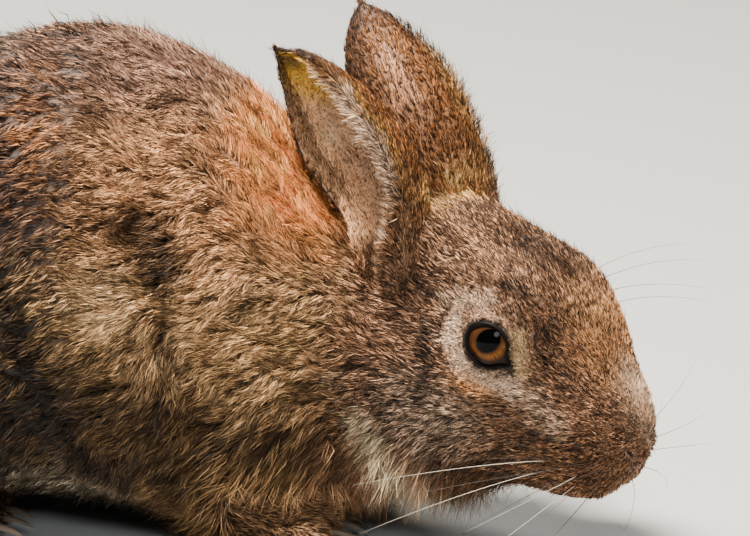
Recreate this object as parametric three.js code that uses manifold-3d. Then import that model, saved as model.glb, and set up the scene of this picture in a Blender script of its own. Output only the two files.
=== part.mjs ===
import * as THREE from 'three';
import { SimplifyModifier } from 'three/addons/modifiers/SimplifyModifier.js';
import Module from 'manifold-3d';

// A wild rabbit, life size, crouched on its feet with its head stretched down to graze.
// Millimetres. +X is forward, +Y is the animal's left and +Z is up. The floor is z = 0.
// Every outline is the outside of the coat. The flesh is modelled whole and parted by thin cuts.

// How the head is carried: turned a little to the right and dipped towards the grass.
const HEAD_TURN = THREE.MathUtils.degToRad(20);
const HEAD_DIP = THREE.MathUtils.degToRad(22);
const EYE_LINE = new THREE.Vector3(46.8, -17, 58.9);

// Sizes that drive the rest.
const EYE_RADIUS = 8.5;
const EYE_OUT = 15.9;
const EYE_BACK = -0.8;
const EAR_THICKNESS = 2.4;
const BACK_HEIGHT = 131;
const BELLY_HEIGHT = 6;
const CHEST_CLEARANCE = 2;
const CLAW_LENGTH = 6.5;
const CLAW_ROOT = 2;
const CLAW_RADIUS = 1.15;
const CLAW_DROP = 2.4;
const CUT = 0.36;

// Sizes of the facets, from the fine work of the head to the plain back.
const HEAD_CELL = 3.4;
const LIMB_CELL = 3.6;
const BODY_CELL = 7.5;

const wasm = await Module();
wasm.setup();

// ---- Soft shapes: each returns the distance from a point to a surface, negative inside ----

function egg(p, c, r) {
  const x = (p.x - c[0]) / r[0];
  const y = (p.y - c[1]) / r[1];
  const z = (p.z - c[2]) / r[2];
  const reach = Math.hypot(x, y, z);
  const slope = Math.hypot(x / r[0], y / r[1], z / r[2]);
  return slope > 1e-9 ? (reach * (reach - 1)) / slope : -Math.min(...r);
}

// An egg tipped nose-down by an angle, in the upright plane it lies along.
function tippedEgg(p, c, r, angle) {
  const x = p.x - c[0];
  const z = p.z - c[2];
  const turned = {
    x: x * Math.cos(angle) - z * Math.sin(angle),
    y: p.y - c[1],
    z: x * Math.sin(angle) + z * Math.cos(angle),
  };
  return egg(turned, [0, 0, 0], r);
}

// A limb that narrows from one round end to the other.
function taper(p, a, b, ra, rb) {
  const along = [b[0] - a[0], b[1] - a[1], b[2] - a[2]];
  const from = [p.x - a[0], p.y - a[1], p.z - a[2]];
  const square = along[0] ** 2 + along[1] ** 2 + along[2] ** 2;
  const dot = from[0] * along[0] + from[1] * along[1] + from[2] * along[2];
  const t = Math.min(1, Math.max(0, dot / square));
  const gap = Math.hypot(from[0] - t * along[0], from[1] - t * along[1], from[2] - t * along[2]);
  return gap - (ra + t * (rb - ra));
}

// Joins two distances with a fillet of the given reach.
function join(d, e, reach) {
  const h = Math.max(0, reach - Math.abs(d - e)) / reach;
  return Math.min(d, e) - (h * h * reach) / 4;
}

// Joins a list of distances in turn.
function joinAll(reach, ...distances) {
  return distances.reduce((whole, one) => join(whole, one, reach));
}

// ---- The head, in its own frame: x to the nose, y to the left, z to the crown ----

const headFrame = new THREE.Matrix4().multiplyMatrices(
  new THREE.Matrix4().makeTranslation(EYE_LINE),
  new THREE.Matrix4().multiplyMatrices(
    new THREE.Matrix4().makeRotationZ(-HEAD_TURN),
    new THREE.Matrix4().makeRotationY(HEAD_DIP),
  ),
);

function headField(q) {
  const p = { x: q.x, y: Math.abs(q.y), z: q.z };
  const cranium = egg(p, [-19, 0, 4], [26, 21, 20]);
  const face = taper(p, [-2, 0, 0], [26, 0, -12], 19.5, 14.5);
  const bridge = taper(p, [0, 0, 9.5], [28, 0, -5], 12, 9);
  const noseTip = egg(p, [34, 0, -13], [9, 8, 10]);
  const whiskerPad = egg(p, [24, 7.5, -18], [15, 9, 11.5]);
  const upperLip = egg(p, [33, 4.5, -24], [7, 5.5, 8]);
  const chin = taper(p, [-8, 0, -31], [22, 0, -29], 13.5, 8.5);
  const cheek = egg(p, [-11, 11.5, -15], [23, 12, 26]);
  const jowl = egg(p, [-22, 12, -23], [18, 12, 22]);
  const throat = egg(p, [-20, 0, -32], [24, 17, 19]);
  const underEye = egg(p, [10, 10, -9], [18, 9, 14]);
  const brow = egg(p, [-2, 11.5, 10.5], [14, 6.3, 8]);
  const forehead = egg(p, [6, 0, 7.5], [20, 15, 11.5]);
  const jawSide = egg(p, [10, 8, -24], [16, 7.5, 9]);
  const orbit = egg(p, [0, 10.5, 0], [12.5, 9.4, 11.5]);
  const earRoot = egg(p, [-36, 12, 6], [12, 10, 14]);
  const skull = joinAll(7, cranium, face, forehead, cheek, jowl, throat, chin, jawSide);
  const muzzle = joinAll(5, bridge, noseTip, whiskerPad, upperLip);
  return joinAll(7, skull, muzzle, underEye, brow, earRoot, orbit);
}

// ---- The body, in the frame of the whole animal ----

function neckField(p) {
  const withers = egg(p, [-43, 0, 72], [31, 35, 46.5]);
  const nape = taper(p, [-44, 0, 70], [14, -6, 53], 36, 17.5);
  const side = taper(p, [-32, 0, 54], [12, -6, 45], 43, 23);
  return join(join(nape, side, 12), withers, 10);
}

function trunkField(q) {
  const p = { x: q.x, y: Math.abs(q.y), z: q.z };
  const loins = BACK_HEIGHT - 7 - BELLY_HEIGHT;
  const abdomen = egg(p, [-99, 0, BELLY_HEIGHT + loins / 2], [71, 54, loins / 2]);
  const ribs = egg(p, [-73, 0, BACK_HEIGHT - 53.5], [48, 46, 55]);
  const breast = egg(p, [-27, 0, 33], [35, 43, 33]);
  const belly = egg(p, [-72, 0, 38], [50, 46, 34]);
  const bib = egg(p, [-30, 15, 18.5], [30, 19, 17.5]);
  return join(joinAll(16, abdomen, ribs, breast, belly), bib, 8);
}

function upperArmField(q) {
  const p = { x: q.x, y: Math.abs(q.y), z: q.z };
  return tippedEgg(p, [-58, 34, 46], [20, 15, 31], 0.35);
}

function thighField(q) {
  const p = { x: q.x, y: Math.abs(q.y), z: q.z };
  const muscle = tippedEgg(p, [-128, 36, 50], [39, 24, 43], 0.25);
  const knee = egg(p, [-102, 42, 30], [17, 14, 19]);
  return join(muscle, knee, 14);
}

function bodyField(p) {
  const torso = join(trunkField(p), neckField(p), 14);
  const limbs = Math.min(upperArmField(p), thighField(p));
  return Math.max(join(torso, limbs, 12), CHEST_CLEARANCE - p.z);
}

// ---- The lower limbs ----

const TOES = 4;
const FORE_TOE = { back: -24, length: 22, spread: 4.6, radius: 4.1 };
const HIND_TOE = { back: -112, length: 24, spread: 5, radius: 4.6 };
const FORE_LINE = 23;
const HIND_LINE = 42;

// The side-to-side place of a toe, counted from the inside of the foot.
function toeSide(line, toe, number) {
  return line + (number - (TOES - 1) / 2) * toe.spread * 2 * 0.93;
}

// How far a toe reaches: the two middle toes are the longest.
function toeReach(toe, number) {
  const middle = Math.abs(number - (TOES - 1) / 2);
  return toe.back + toe.length - middle * 2.6;
}

function toesField(p, line, toe) {
  let whole = Infinity;
  for (let number = 0; number < TOES; number += 1) {
    const side = toeSide(line, toe, number);
    const root = [toe.back, line + (side - line) * 0.7, toe.radius + 1.4];
    const tip = [toeReach(toe, number) - toe.radius, side, toe.radius - 0.5];
    const one = taper(p, root, tip, toe.radius + 0.6, toe.radius);
    whole = Number.isFinite(whole) ? join(whole, one, 1.6) : one;
  }
  return whole;
}

function foreLimbField(q) {
  const p = { x: q.x, y: Math.abs(q.y), z: q.z };
  const forearm = taper(p, [-62, 40, 27], [-36, 32, 12], 13.5, 10.5);
  const wrist = taper(p, [-36, 32, 12], [-20, FORE_LINE, 7.5], 10.5, 8.8);
  const toes = toesField(p, FORE_LINE, FORE_TOE);
  return joinAll(5, forearm, wrist, toes);
}

function hindLimbField(q) {
  const p = { x: q.x, y: Math.abs(q.y), z: q.z };
  const shank = taper(p, [-106, 44, 30], [-160, HIND_LINE, 17], 13, 9);
  const heel = egg(p, [-165, HIND_LINE, 9.5], [11, 8.5, 10.5]);
  const foot = taper(p, [-158, HIND_LINE, 8], [-112, HIND_LINE, 7], 8.5, 9.5);
  const toes = toesField(p, HIND_LINE, HIND_TOE);
  return join(join(shank, heel, 6), join(foot, toes, 5), 5);
}

function tailField(p) {
  const stem = taper(p, [-160, 0, 50], [-168, 0, 64], 13, 12);
  const tuft = egg(p, [-171, 0, 75], [10, 12, 17]);
  return join(stem, tuft, 6);
}

// ---- Facets: walks a grid, sets one corner in every cell the surface crosses ----

function slideOnto(field, place, cell) {
  const step = 0.05;
  for (let turn = 0; turn < 4; turn += 1) {
    const here = field(place);
    const slope = new THREE.Vector3(
      field({ x: place.x + step, y: place.y, z: place.z }) - here,
      field({ x: place.x, y: place.y + step, z: place.z }) - here,
      field({ x: place.x, y: place.y, z: place.z + step }) - here,
    ).divideScalar(step);
    const steep = slope.lengthSq();
    if (steep < 1e-6) {
      return;
    }
    const move = THREE.MathUtils.clamp(here / steep, -cell / 4, cell / 4);
    place.addScaledVector(slope, -move);
  }
}

// The mean of the places where a cell's twelve edges cross the surface.
function cellCorner(i, j, k, at, index, values) {
  const place = new THREE.Vector3();
  let crossings = 0;
  for (let c = 0; c < 8; c += 1) {
    for (const bit of [1, 2, 4]) {
      if (!(c & bit)) {
        const d = c | bit;
        const a = [i + (c & 1), j + ((c >> 1) & 1), k + (c >> 2)];
        const b = [i + (d & 1), j + ((d >> 1) & 1), k + (d >> 2)];
        const va = values[index(...a)];
        const vb = values[index(...b)];
        if (va < 0 !== vb < 0) {
          place.add(at(...a).lerp(at(...b), va / (va - vb)));
          crossings += 1;
        }
      }
    }
  }
  return place.divideScalar(crossings);
}

async function facets(shape, low, high, cell, most, sockets = false) {
  const count = low.map((from, axis) => Math.ceil((high[axis] - from) / cell) + 1);
  const end = low.map((from, axis) => from + (count[axis] - 1) * cell);
  const boxed = (p) => Math.max(
    low[0] + cell - p.x, low[1] + cell - p.y, low[2] + cell - p.z,
    p.x - end[0] + cell, p.y - end[1] + cell, p.z - end[2] + cell,
  );
  const field = (p) => Math.max(shape(p), boxed(p));
  const index = (i, j, k) => i + count[0] * (j + count[1] * k);
  const at = (i, j, k) => new THREE.Vector3(low[0] + i * cell, low[1] + j * cell, low[2] + k * cell);
  const values = new Float64Array(count[0] * count[1] * count[2]);
  const walk = (visit) => {
    for (let k = 0; k < count[2]; k += 1) {
      for (let j = 0; j < count[1]; j += 1) {
        for (let i = 0; i < count[0]; i += 1) {
          visit(i, j, k);
        }
      }
    }
  };
  walk((i, j, k) => {
    values[index(i, j, k)] = field(at(i, j, k)) || 1e-6;
  });
  const corners = [];
  const cornerOf = new Map();
  const cornerIn = (i, j, k) => {
    const key = index(i, j, k);
    if (!cornerOf.has(key)) {
      cornerOf.set(key, corners.length);
      corners.push(cellCorner(i, j, k, at, index, values));
      slideOnto(field, corners[corners.length - 1], cell);
    }
    return cornerOf.get(key);
  };
  const unit = [[1, 0, 0], [0, 1, 0], [0, 0, 1]];
  const triangles = [];
  walk((i, j, k) => {
    for (let axis = 0; axis < 3; axis += 1) {
      const place = [i, j, k];
      const crosswise = [(axis + 1) % 3, (axis + 2) % 3];
      if (place[axis] < count[axis] - 1 && crosswise.every((other) => place[other] > 0)) {
        const [u, v] = crosswise.map((other) => unit[other]);
        const here = values[index(i, j, k)];
        const next = values[index(i + unit[axis][0], j + unit[axis][1], k + unit[axis][2])];
        if (here < 0 !== next < 0) {
          const ring = [
            cornerIn(i - u[0] - v[0], j - u[1] - v[1], k - u[2] - v[2]),
            cornerIn(i - v[0], j - v[1], k - v[2]),
            cornerIn(i, j, k),
            cornerIn(i - u[0], j - u[1], k - u[2]),
          ];
          const [a, b, c, d] = here < 0 ? ring : ring.reverse();
          const short = corners[a].distanceTo(corners[c]) < corners[b].distanceTo(corners[d]);
          triangles.push(...(short ? [a, b, c, a, c, d] : [a, b, d, b, c, d]));
        }
      }
    }
  });
  const skin = await thinned(field, corners, triangles, cell, most);
  const body = solid(skin.corners, skin.triangles);
  const wider = () => solid(skin.corners.map((corner) => outward(field, corner)), skin.triangles);
  return { body, socket: sockets ? wider() : null };
}

// Merges facets where the surface is nearly flat, then sets the corners back on the surface.
async function thinned(field, corners, triangles, cell, most) {
  const excess = Math.round((triangles.length / 3 - most) / 2);
  if (excess <= 0) {
    return { corners, triangles };
  }
  const geometry = new THREE.BufferGeometry().setFromPoints(corners);
  geometry.setIndex(triangles);
  const fewer = await new SimplifyModifier().modify(geometry, excess);
  const places = fewer.getAttribute('position');
  const kept = [];
  for (let n = 0; n < places.count; n += 1) {
    const place = new THREE.Vector3().fromBufferAttribute(places, n);
    slideOnto(field, place, cell);
    kept.push(place);
  }
  return { corners: kept, triangles: Array.from(fewer.index.array) };
}

// The same corner moved out by the clearance of a socket.
function outward(field, corner) {
  const step = 0.05;
  const here = field(corner);
  const slope = new THREE.Vector3(
    field({ x: corner.x + step, y: corner.y, z: corner.z }) - here,
    field({ x: corner.x, y: corner.y + step, z: corner.z }) - here,
    field({ x: corner.x, y: corner.y, z: corner.z + step }) - here,
  ).normalize();
  return corner.clone().addScaledVector(slope, CUT * 1.3);
}

// ---- Solids, and the cuts that part them ----

function solid(corners, triangles) {
  const places = new Float32Array(corners.length * 3);
  corners.forEach((corner, number) => corner.toArray(places, number * 3));
  const mesh = new wasm.Mesh({
    numProp: 3,
    vertProperties: places,
    triVerts: new Uint32Array(triangles),
  });
  return new wasm.Manifold(mesh);
}

// Corners closer than a tenth of a micron are one corner.
function cornerKey(place) {
  return place.toArray().map((value) => Math.round(value * 1e4)).join();
}

function fromGeometry(geometry, matrix) {
  const corners = [];
  const known = new Map();
  const places = geometry.getAttribute('position');
  const order = [];
  for (let n = 0; n < places.count; n += 1) {
    const place = new THREE.Vector3().fromBufferAttribute(places, n);
    const key = cornerKey(place);
    if (!known.has(key)) {
      known.set(key, corners.length);
      corners.push(place.applyMatrix4(matrix));
    }
    order.push(known.get(key));
  }
  const turns = geometry.index ? Array.from(geometry.index.array, (n) => order[n]) : order;
  const triangles = [];
  for (let n = 0; n < turns.length; n += 3) {
    const [a, b, c] = turns.slice(n, n + 3);
    if (a !== b && b !== c && c !== a) {
      triangles.push(a, b, c);
    }
  }
  return solid(corners, triangles);
}

// A block that fills the space ahead of a plane, used to trim.
function aheadOf(point, direction, setBack = 0) {
  const size = 600;
  const normal = new THREE.Vector3(...direction).normalize();
  const turn = new THREE.Quaternion().setFromUnitVectors(new THREE.Vector3(1, 0, 0), normal);
  const middle = new THREE.Vector3(...point).addScaledVector(normal, size / 2 + setBack);
  const place = new THREE.Matrix4().compose(middle, turn, new THREE.Vector3(1, 1, 1));
  return fromGeometry(new THREE.BoxGeometry(size, size, size), place);
}

// An egg-shaped cutter, used to part a limb from the trunk.
function eggCutter(centre, radii, angle, grown) {
  const place = new THREE.Matrix4().compose(
    new THREE.Vector3(...centre),
    new THREE.Quaternion().setFromAxisAngle(new THREE.Vector3(0, 1, 0), angle),
    new THREE.Vector3(...radii.map((r) => r + grown)),
  );
  return fromGeometry(new THREE.SphereGeometry(1, 12, 8), place);
}

// Drops loose slivers that a cut can leave, keeping the one main body.
function mainBody(shape) {
  const mesh = shape.getMesh();
  const step = mesh.numProp;
  const corners = [];
  for (let n = 0; n < mesh.vertProperties.length; n += step) {
    corners.push(new THREE.Vector3().fromArray(mesh.vertProperties, n));
  }
  const known = new Map();
  const same = corners.map((corner, number) => {
    const key = cornerKey(corner);
    if (!known.has(key)) {
      known.set(key, number);
    }
    return known.get(key);
  });
  const owner = corners.map((_, number) => number);
  const find = (n) => {
    let top = n;
    while (owner[top] !== top) {
      top = owner[top];
    }
    owner[n] = top;
    return top;
  };
  const turns = Array.from(mesh.triVerts, (n) => same[n]);
  for (let n = 0; n < turns.length; n += 3) {
    owner[find(turns[n + 1])] = find(turns[n]);
    owner[find(turns[n + 2])] = find(turns[n]);
  }
  const sizes = new Map();
  turns.forEach((n) => sizes.set(find(n), (sizes.get(find(n)) ?? 0) + 1));
  const biggest = [...sizes].sort((a, b) => b[1] - a[1])[0][0];
  const kept = [];
  for (let n = 0; n < turns.length; n += 3) {
    const [a, b, c] = turns.slice(n, n + 3);
    if (find(a) === biggest && a !== b && b !== c && c !== a) {
      kept.push(a, b, c);
    }
  }
  const used = [...new Set(kept)];
  const renumbered = new Map(used.map((n, place) => [n, place]));
  return solid(used.map((n) => corners[n]), kept.map((n) => renumbered.get(n)));
}

// ---- Ears: a rolled leaf of skin, a tube at the root that opens to a pointed cup ----

const EAR_STATIONS = 11;
const EAR_ARC = 7;
const EAR_DEPTH = 1.03;
const EAR_SET_BACK = 0.12;

// Stations along an ear, as fractions of its length: half width, and the angle it wraps each way.
function earHalfWidth(t) {
  const root = 8.6 + 5.2 * THREE.MathUtils.smoothstep(t, 0.05, 0.5);
  const point = Math.sqrt(Math.max(0, 1 - THREE.MathUtils.smoothstep(t, 0.55, 1.04) ** 1.35));
  return root * point + 1.2;
}

function earWrap(t) {
  const opening = THREE.MathUtils.lerp(2.75, 1.95, THREE.MathUtils.smoothstep(t, 0.05, 0.4));
  return opening - 0.6 * THREE.MathUtils.smoothstep(t, 0.6, 1);
}

// The two ears are held alike, the left one a little straighter than the right.
function earLine(side) {
  const lift = side > 0 ? 8 : 0;
  const spread = side > 0 ? -6.5 : 0;
  const sweep = side > 0 ? -2.2 : 0;
  return new THREE.CatmullRomCurve3([
    new THREE.Vector3(-30, side * 13, -8),
    new THREE.Vector3(-37.5, side * 14.5, 6),
    new THREE.Vector3(-51 + sweep, side * (15.5 + spread * 0.3), 19 + lift * 0.15),
    new THREE.Vector3(-70.5 + sweep, side * (18 + spread * 0.7), 30.5 + lift * 0.6),
    new THREE.Vector3(-88.6, side * (20.5 + spread), 40 + lift),
  ]);
}

// The middle of the ear at one station, with the directions it opens and spreads.
function earStation(side, t) {
  const line = earLine(side);
  const along = line.getTangentAt(t);
  const open = new THREE.Vector3(-0.42, side * 0.91, 0).projectOnPlane(along).normalize();
  const across = new THREE.Vector3().crossVectors(along, open).multiplyScalar(side);
  const radius = earHalfWidth(t);
  const middle = line.getPointAt(t).addScaledVector(open, EAR_SET_BACK * radius);
  return { middle, open, across, radius, wrap: earWrap(t) };
}

// Corners round the closed side of the ear, from one lip to the other.
function earArc({ middle, open, across, wrap }, distance, direction) {
  const corners = [];
  for (let m = 0; m <= EAR_ARC; m += 1) {
    const angle = direction * wrap * ((2 * m) / EAR_ARC - 1);
    const corner = middle.clone();
    corner.addScaledVector(open, -distance * EAR_DEPTH * Math.cos(angle));
    corner.addScaledVector(across, distance * Math.sin(angle));
    corners.push(corner.applyMatrix4(headFrame));
  }
  return corners;
}

// A skin over rings of corners, closed by a strip of facets at each end.
function loft(rings, side) {
  const count = rings[0].length;
  const triangles = [];
  const quad = (a, b, c, d) => {
    triangles.push(...(side < 0 ? [a, b, c, a, c, d] : [c, b, a, d, c, a]));
  };
  for (let n = 0; n < rings.length - 1; n += 1) {
    for (let m = 0; m < count; m += 1) {
      const next = (m + 1) % count;
      quad(n * count + m, n * count + next, (n + 1) * count + next, (n + 1) * count + m);
    }
  }
  const tip = (rings.length - 1) * count;
  for (let m = 0; m < count / 2 - 1; m += 1) {
    quad(count - 1 - m, count - 2 - m, m + 1, m);
    quad(tip + m, tip + m + 1, tip + count - 2 - m, tip + count - 1 - m);
  }
  return solid(rings.flat(), triangles);
}

function earInside(station) {
  return station.radius - Math.min(EAR_THICKNESS, station.radius * 0.7);
}

function ear(side) {
  const rings = [];
  for (let n = 0; n <= EAR_STATIONS; n += 1) {
    const station = earStation(side, n / EAR_STATIONS);
    rings.push([...earArc(station, station.radius, 1), ...earArc(station, earInside(station), -1)]);
  }
  return loft(rings, side);
}

// The hollow of the cup, which runs down into the head.
function earHollow(side) {
  const rings = [];
  for (let n = 1; n < EAR_STATIONS - 2; n += 1) {
    const station = earStation(side, n / EAR_STATIONS);
    rings.push(earArc(station, earInside(station), 1));
  }
  return loft(rings, side);
}

// ---- Eyes ----

function eyeBall(side, grown) {
  const radius = EYE_RADIUS + grown;
  const ball = new THREE.SphereGeometry(radius, 14, 8).rotateX(Math.PI / 2);
  const place = new THREE.Matrix4().makeTranslation(EYE_BACK, side * EYE_OUT, 0);
  return fromGeometry(ball, place.premultiply(headFrame));
}

// ---- Claws: short curved spikes, each rooted in the end of its toe ----

function claw(side, line, toe, number, grown) {
  const start = new THREE.Vector3(
    toeReach(toe, number) - CLAW_ROOT - grown,
    side * toeSide(line, toe, number),
    toe.radius - 0.2,
  );
  const length = CLAW_LENGTH + CLAW_ROOT;
  const sides = 5;
  const rings = 3;
  const corners = [];
  for (let n = 0; n < rings; n += 1) {
    const t = n / rings;
    const radius = CLAW_RADIUS * (1 - 0.6 * t) + grown;
    for (let m = 0; m < sides; m += 1) {
      const angle = (2 * Math.PI * m) / sides;
      corners.push(new THREE.Vector3(
        start.x + length * t,
        start.y + radius * Math.cos(angle),
        start.z - CLAW_DROP * t * t + radius * Math.sin(angle),
      ));
    }
  }
  const tip = corners.length;
  corners.push(new THREE.Vector3(start.x + length + grown, start.y, start.z - CLAW_DROP));
  const triangles = [];
  for (let m = 0; m < sides; m += 1) {
    const next = (m + 1) % sides;
    for (let n = 0; n < rings - 1; n += 1) {
      const [a, b] = [n * sides + m, n * sides + next];
      triangles.push(a, b, b + sides, a, b + sides, a + sides);
    }
    triangles.push((rings - 1) * sides + m, (rings - 1) * sides + next, tip);
    if (m > 0 && m < sides - 1) {
      triangles.push(0, m + 1, m);
    }
  }
  return solid(corners, triangles);
}

// The room the claws of one foot take up in its toes.
function clawRoots(side, line, toe) {
  let roots = claw(side, line, toe, 0, CUT);
  for (let number = 1; number < TOES; number += 1) {
    roots = roots.add(claw(side, line, toe, number, CUT));
  }
  return roots;
}

// ---- Building ----

const frame = { low: [-62, -38, -62], high: [56, 38, 36] };
const NECK_PLANE = { point: [6, 0, 60], along: [0.985, -0.17, 0] };
const CHEST_PLANE = { point: [-22, 0, 66], along: [0.93, -0.04, 0.36] };

const flesh = new Map();

// The head, with part of the neck inside it for the cut to pass through.
function headAndNeck(q) {
  const place = new THREE.Vector3(q.x, q.y, q.z).applyMatrix4(headFrame);
  const torso = join(trunkField(place), neckField(place), 14);
  return join(headField(q), torso, 6);
}

const headWhole = await facets(headAndNeck, frame.low, frame.high, HEAD_CELL, 1620, true);
const headSocket = headWhole.socket.transform(headFrame.toArray());
const headShape = headWhole.body.transform(headFrame.toArray());
let head = headShape.intersect(aheadOf(NECK_PLANE.point, NECK_PLANE.along, CUT / 2));
for (const side of [-1, 1]) {
  head = head.subtract(eyeBall(side, CUT)).subtract(earHollow(side));
}
const inHead = (point, along) => [
  new THREE.Vector3(...point).applyMatrix4(headFrame).toArray(),
  new THREE.Vector3(...along).transformDirection(headFrame).toArray(),
];
const [mouth, mouthDown] = inHead([20, 0, -30], [0.12, 0, -1]);
const [gape, gapeAhead] = inHead([9, 0, -30], [1, 0, 0.35]);
const jawCut = aheadOf(mouth, mouthDown).intersect(aheadOf(gape, gapeAhead));
const jawKept = aheadOf(mouth, mouthDown, CUT).intersect(aheadOf(gape, gapeAhead, CUT));
flesh.set('lower_jaw', head.intersect(jawKept));
flesh.set('head', head.subtract(jawCut));

const body = await facets(bodyField, [-186, -74, -6], [44, 74, 144], BODY_CELL, 720, true);
const tail = await facets(tailField, [-204, -20, 36], [-150, 20, 100], LIMB_CELL, 120);
const limbs = [];
for (const side of [-1, 1]) {
  const mirrored = (field) => (p) => field({ x: p.x, y: p.y * side, z: p.z });
  const half = (low, high) => {
    const across = side > 0 ? [low[1], high[1]] : [-high[1], -low[1]];
    return [[low[0], across[0], low[2]], [high[0], across[1], high[2]]];
  };
  const fore = half([-86, 2, -5], [16, 56, 50]);
  const hind = half([-184, 20, -5], [-76, 66, 52]);
  limbs.push({
    side,
    fore: await facets(mirrored(foreLimbField), ...fore, LIMB_CELL, 280),
    hind: await facets(mirrored(hindLimbField), ...hind, LIMB_CELL, 330),
  });
}

const aboveFloor = aheadOf([0, 0, 0], [0, 0, 1]);
let torso = body.body.subtract(aheadOf(NECK_PLANE.point, NECK_PLANE.along, -CUT / 2));
for (const { side, fore, hind } of limbs) {
  const name = side > 0 ? 'left' : 'right';
  const arm = [[-59, side * 42, 44], [22, 20, 33], -0.35];
  const thigh = [[-128, side * 46, 46], [41, 30, 46], -0.25];
  flesh.set(`upper_arm_${name}`, torso.intersect(eggCutter(...arm, -CUT)));
  torso = torso.subtract(eggCutter(...arm, 0));
  flesh.set(`thigh_${name}`, torso.intersect(eggCutter(...thigh, -CUT)));
  torso = torso.subtract(eggCutter(...thigh, 0)).subtract(earHollow(side));
  const foreLimb = fore.body.subtract(body.socket).intersect(aboveFloor);
  const hindLimb = hind.body.subtract(body.socket).intersect(aboveFloor);
  const wrist = [[-31, side * 28, 9], [1, 0, 0]];
  const heel = [[-148, side * HIND_LINE, 16], [0.35, 0, -0.94]];
  flesh.set(`forearm_${name}`, foreLimb.subtract(aheadOf(...wrist, -CUT / 2)));
  const forefoot = foreLimb.intersect(aheadOf(...wrist, CUT / 2));
  flesh.set(`shank_${name}`, hindLimb.subtract(aheadOf(...heel, -CUT / 2)));
  const hindFoot = hindLimb.intersect(aheadOf(...heel, CUT / 2));
  flesh.set(`forefoot_${name}`, forefoot.subtract(clawRoots(side, FORE_LINE, FORE_TOE)));
  flesh.set(`hind_foot_${name}`, hindFoot.subtract(clawRoots(side, HIND_LINE, HIND_TOE)));
}
flesh.set('tail', tail.body.subtract(body.socket));
flesh.set('neck', torso.intersect(aheadOf(CHEST_PLANE.point, CHEST_PLANE.along, CUT / 2)));
flesh.set('trunk', torso.subtract(aheadOf(CHEST_PLANE.point, CHEST_PLANE.along, -CUT / 2)));

const group = new THREE.Group();
group.name = 'rabbit';

function material(name, colour, roughness) {
  return new THREE.MeshStandardMaterial({ name, color: colour, roughness, metalness: 0 });
}

function add(name, shape, colour, roughness) {
  const mesh = mainBody(shape).getMesh();
  const geometry = new THREE.BufferGeometry();
  geometry.setAttribute('position', new THREE.BufferAttribute(new Float32Array(mesh.vertProperties), 3));
  geometry.setIndex(new THREE.BufferAttribute(new Uint32Array(mesh.triVerts), 1));
  geometry.computeVertexNormals();
  const part = new THREE.Mesh(geometry, material(name, colour, roughness));
  part.name = name;
  group.add(part);
}

for (const [name, shape] of flesh) {
  add(name, shape, 0x8a6c4c, 0.95);
}
for (const side of [-1, 1]) {
  const name = side > 0 ? 'left' : 'right';
  add(`ear_${name}`, ear(side).subtract(headSocket).subtract(body.socket), 0x7a5c44, 0.9);
  add(`eye_${name}`, eyeBall(side, 0), 0x2a1608, 0.1);
}

for (const side of [-1, 1]) {
  for (let number = 0; number < TOES; number += 1) {
    const name = `${side > 0 ? 'left' : 'right'}_${number + 1}`;
    add(`claw_fore_${name}`, claw(side, FORE_LINE, FORE_TOE, number, 0), 0x4a3c30, 0.45);
    add(`claw_hind_${name}`, claw(side, HIND_LINE, HIND_TOE, number, 0), 0x4a3c30, 0.45);
  }
}

// The part's own origin: on the floor, under the middle of the whole animal.
const reach = new THREE.Box3().setFromObject(group);
const middle = reach.getCenter(new THREE.Vector3());
group.traverse((part) => {
  if (part.isMesh) {
    part.geometry.translate(-middle.x, -middle.y, 0);
  }
});

export default group;
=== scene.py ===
import math

import bmesh
import bpy
import numpy as np
from mathutils import Matrix, Vector


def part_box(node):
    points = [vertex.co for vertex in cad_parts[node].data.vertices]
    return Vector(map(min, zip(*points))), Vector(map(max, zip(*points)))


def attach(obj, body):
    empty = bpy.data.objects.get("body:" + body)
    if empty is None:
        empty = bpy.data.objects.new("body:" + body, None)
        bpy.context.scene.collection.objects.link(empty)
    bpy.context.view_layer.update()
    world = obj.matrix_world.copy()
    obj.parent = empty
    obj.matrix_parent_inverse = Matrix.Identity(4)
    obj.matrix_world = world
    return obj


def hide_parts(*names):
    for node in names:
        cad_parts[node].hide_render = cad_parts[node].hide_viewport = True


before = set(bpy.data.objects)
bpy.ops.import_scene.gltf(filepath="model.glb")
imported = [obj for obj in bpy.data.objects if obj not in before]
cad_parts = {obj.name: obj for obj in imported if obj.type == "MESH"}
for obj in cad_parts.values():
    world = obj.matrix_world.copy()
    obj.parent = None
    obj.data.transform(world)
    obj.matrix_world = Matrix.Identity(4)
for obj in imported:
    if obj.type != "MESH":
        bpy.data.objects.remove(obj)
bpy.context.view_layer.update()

MM = 0.001

# ---- The rabbit's own axes ----
# A wild rabbit grazing. The head has axes of its own: forward through the nose, across from eye to eye, and
# up through the crown, in millimetres from the middle between the eyes. The body keeps the frame's axes.

HEAD_DIP = math.radians(22)


def middle_of(node):
    low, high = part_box(node)
    return np.array((low + high) / 2)


def unit(vectors):
    return vectors / np.maximum(np.linalg.norm(vectors, axis=-1, keepdims=True), 1e-9)


across = unit(middle_of("eye_left") - middle_of("eye_right"))
level = np.array([across[1], -across[0], 0])
forward = level * math.cos(HEAD_DIP) - np.array([0, 0, 1]) * math.sin(HEAD_DIP)
HEAD_AXES = np.stack([forward, across, np.cross(forward, across)], axis=1)
HEAD_MIDDLE = (middle_of("eye_left") + middle_of("eye_right")) / 2 / MM
EYE_APART = np.linalg.norm(middle_of("eye_left") - middle_of("eye_right")) / 2 / MM


def in_head(points):
    return (points - HEAD_MIDDLE) @ HEAD_AXES


def from_head(points):
    return np.asarray(points, float) @ HEAD_AXES.T + HEAD_MIDDLE


# ---- Skin ----
# One skin over the whole body. It is made from the solids of the flesh, run together where the cuts part
# them, evened out, and drawn in from the coat's outline by as much as the hair stands up there.

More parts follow.
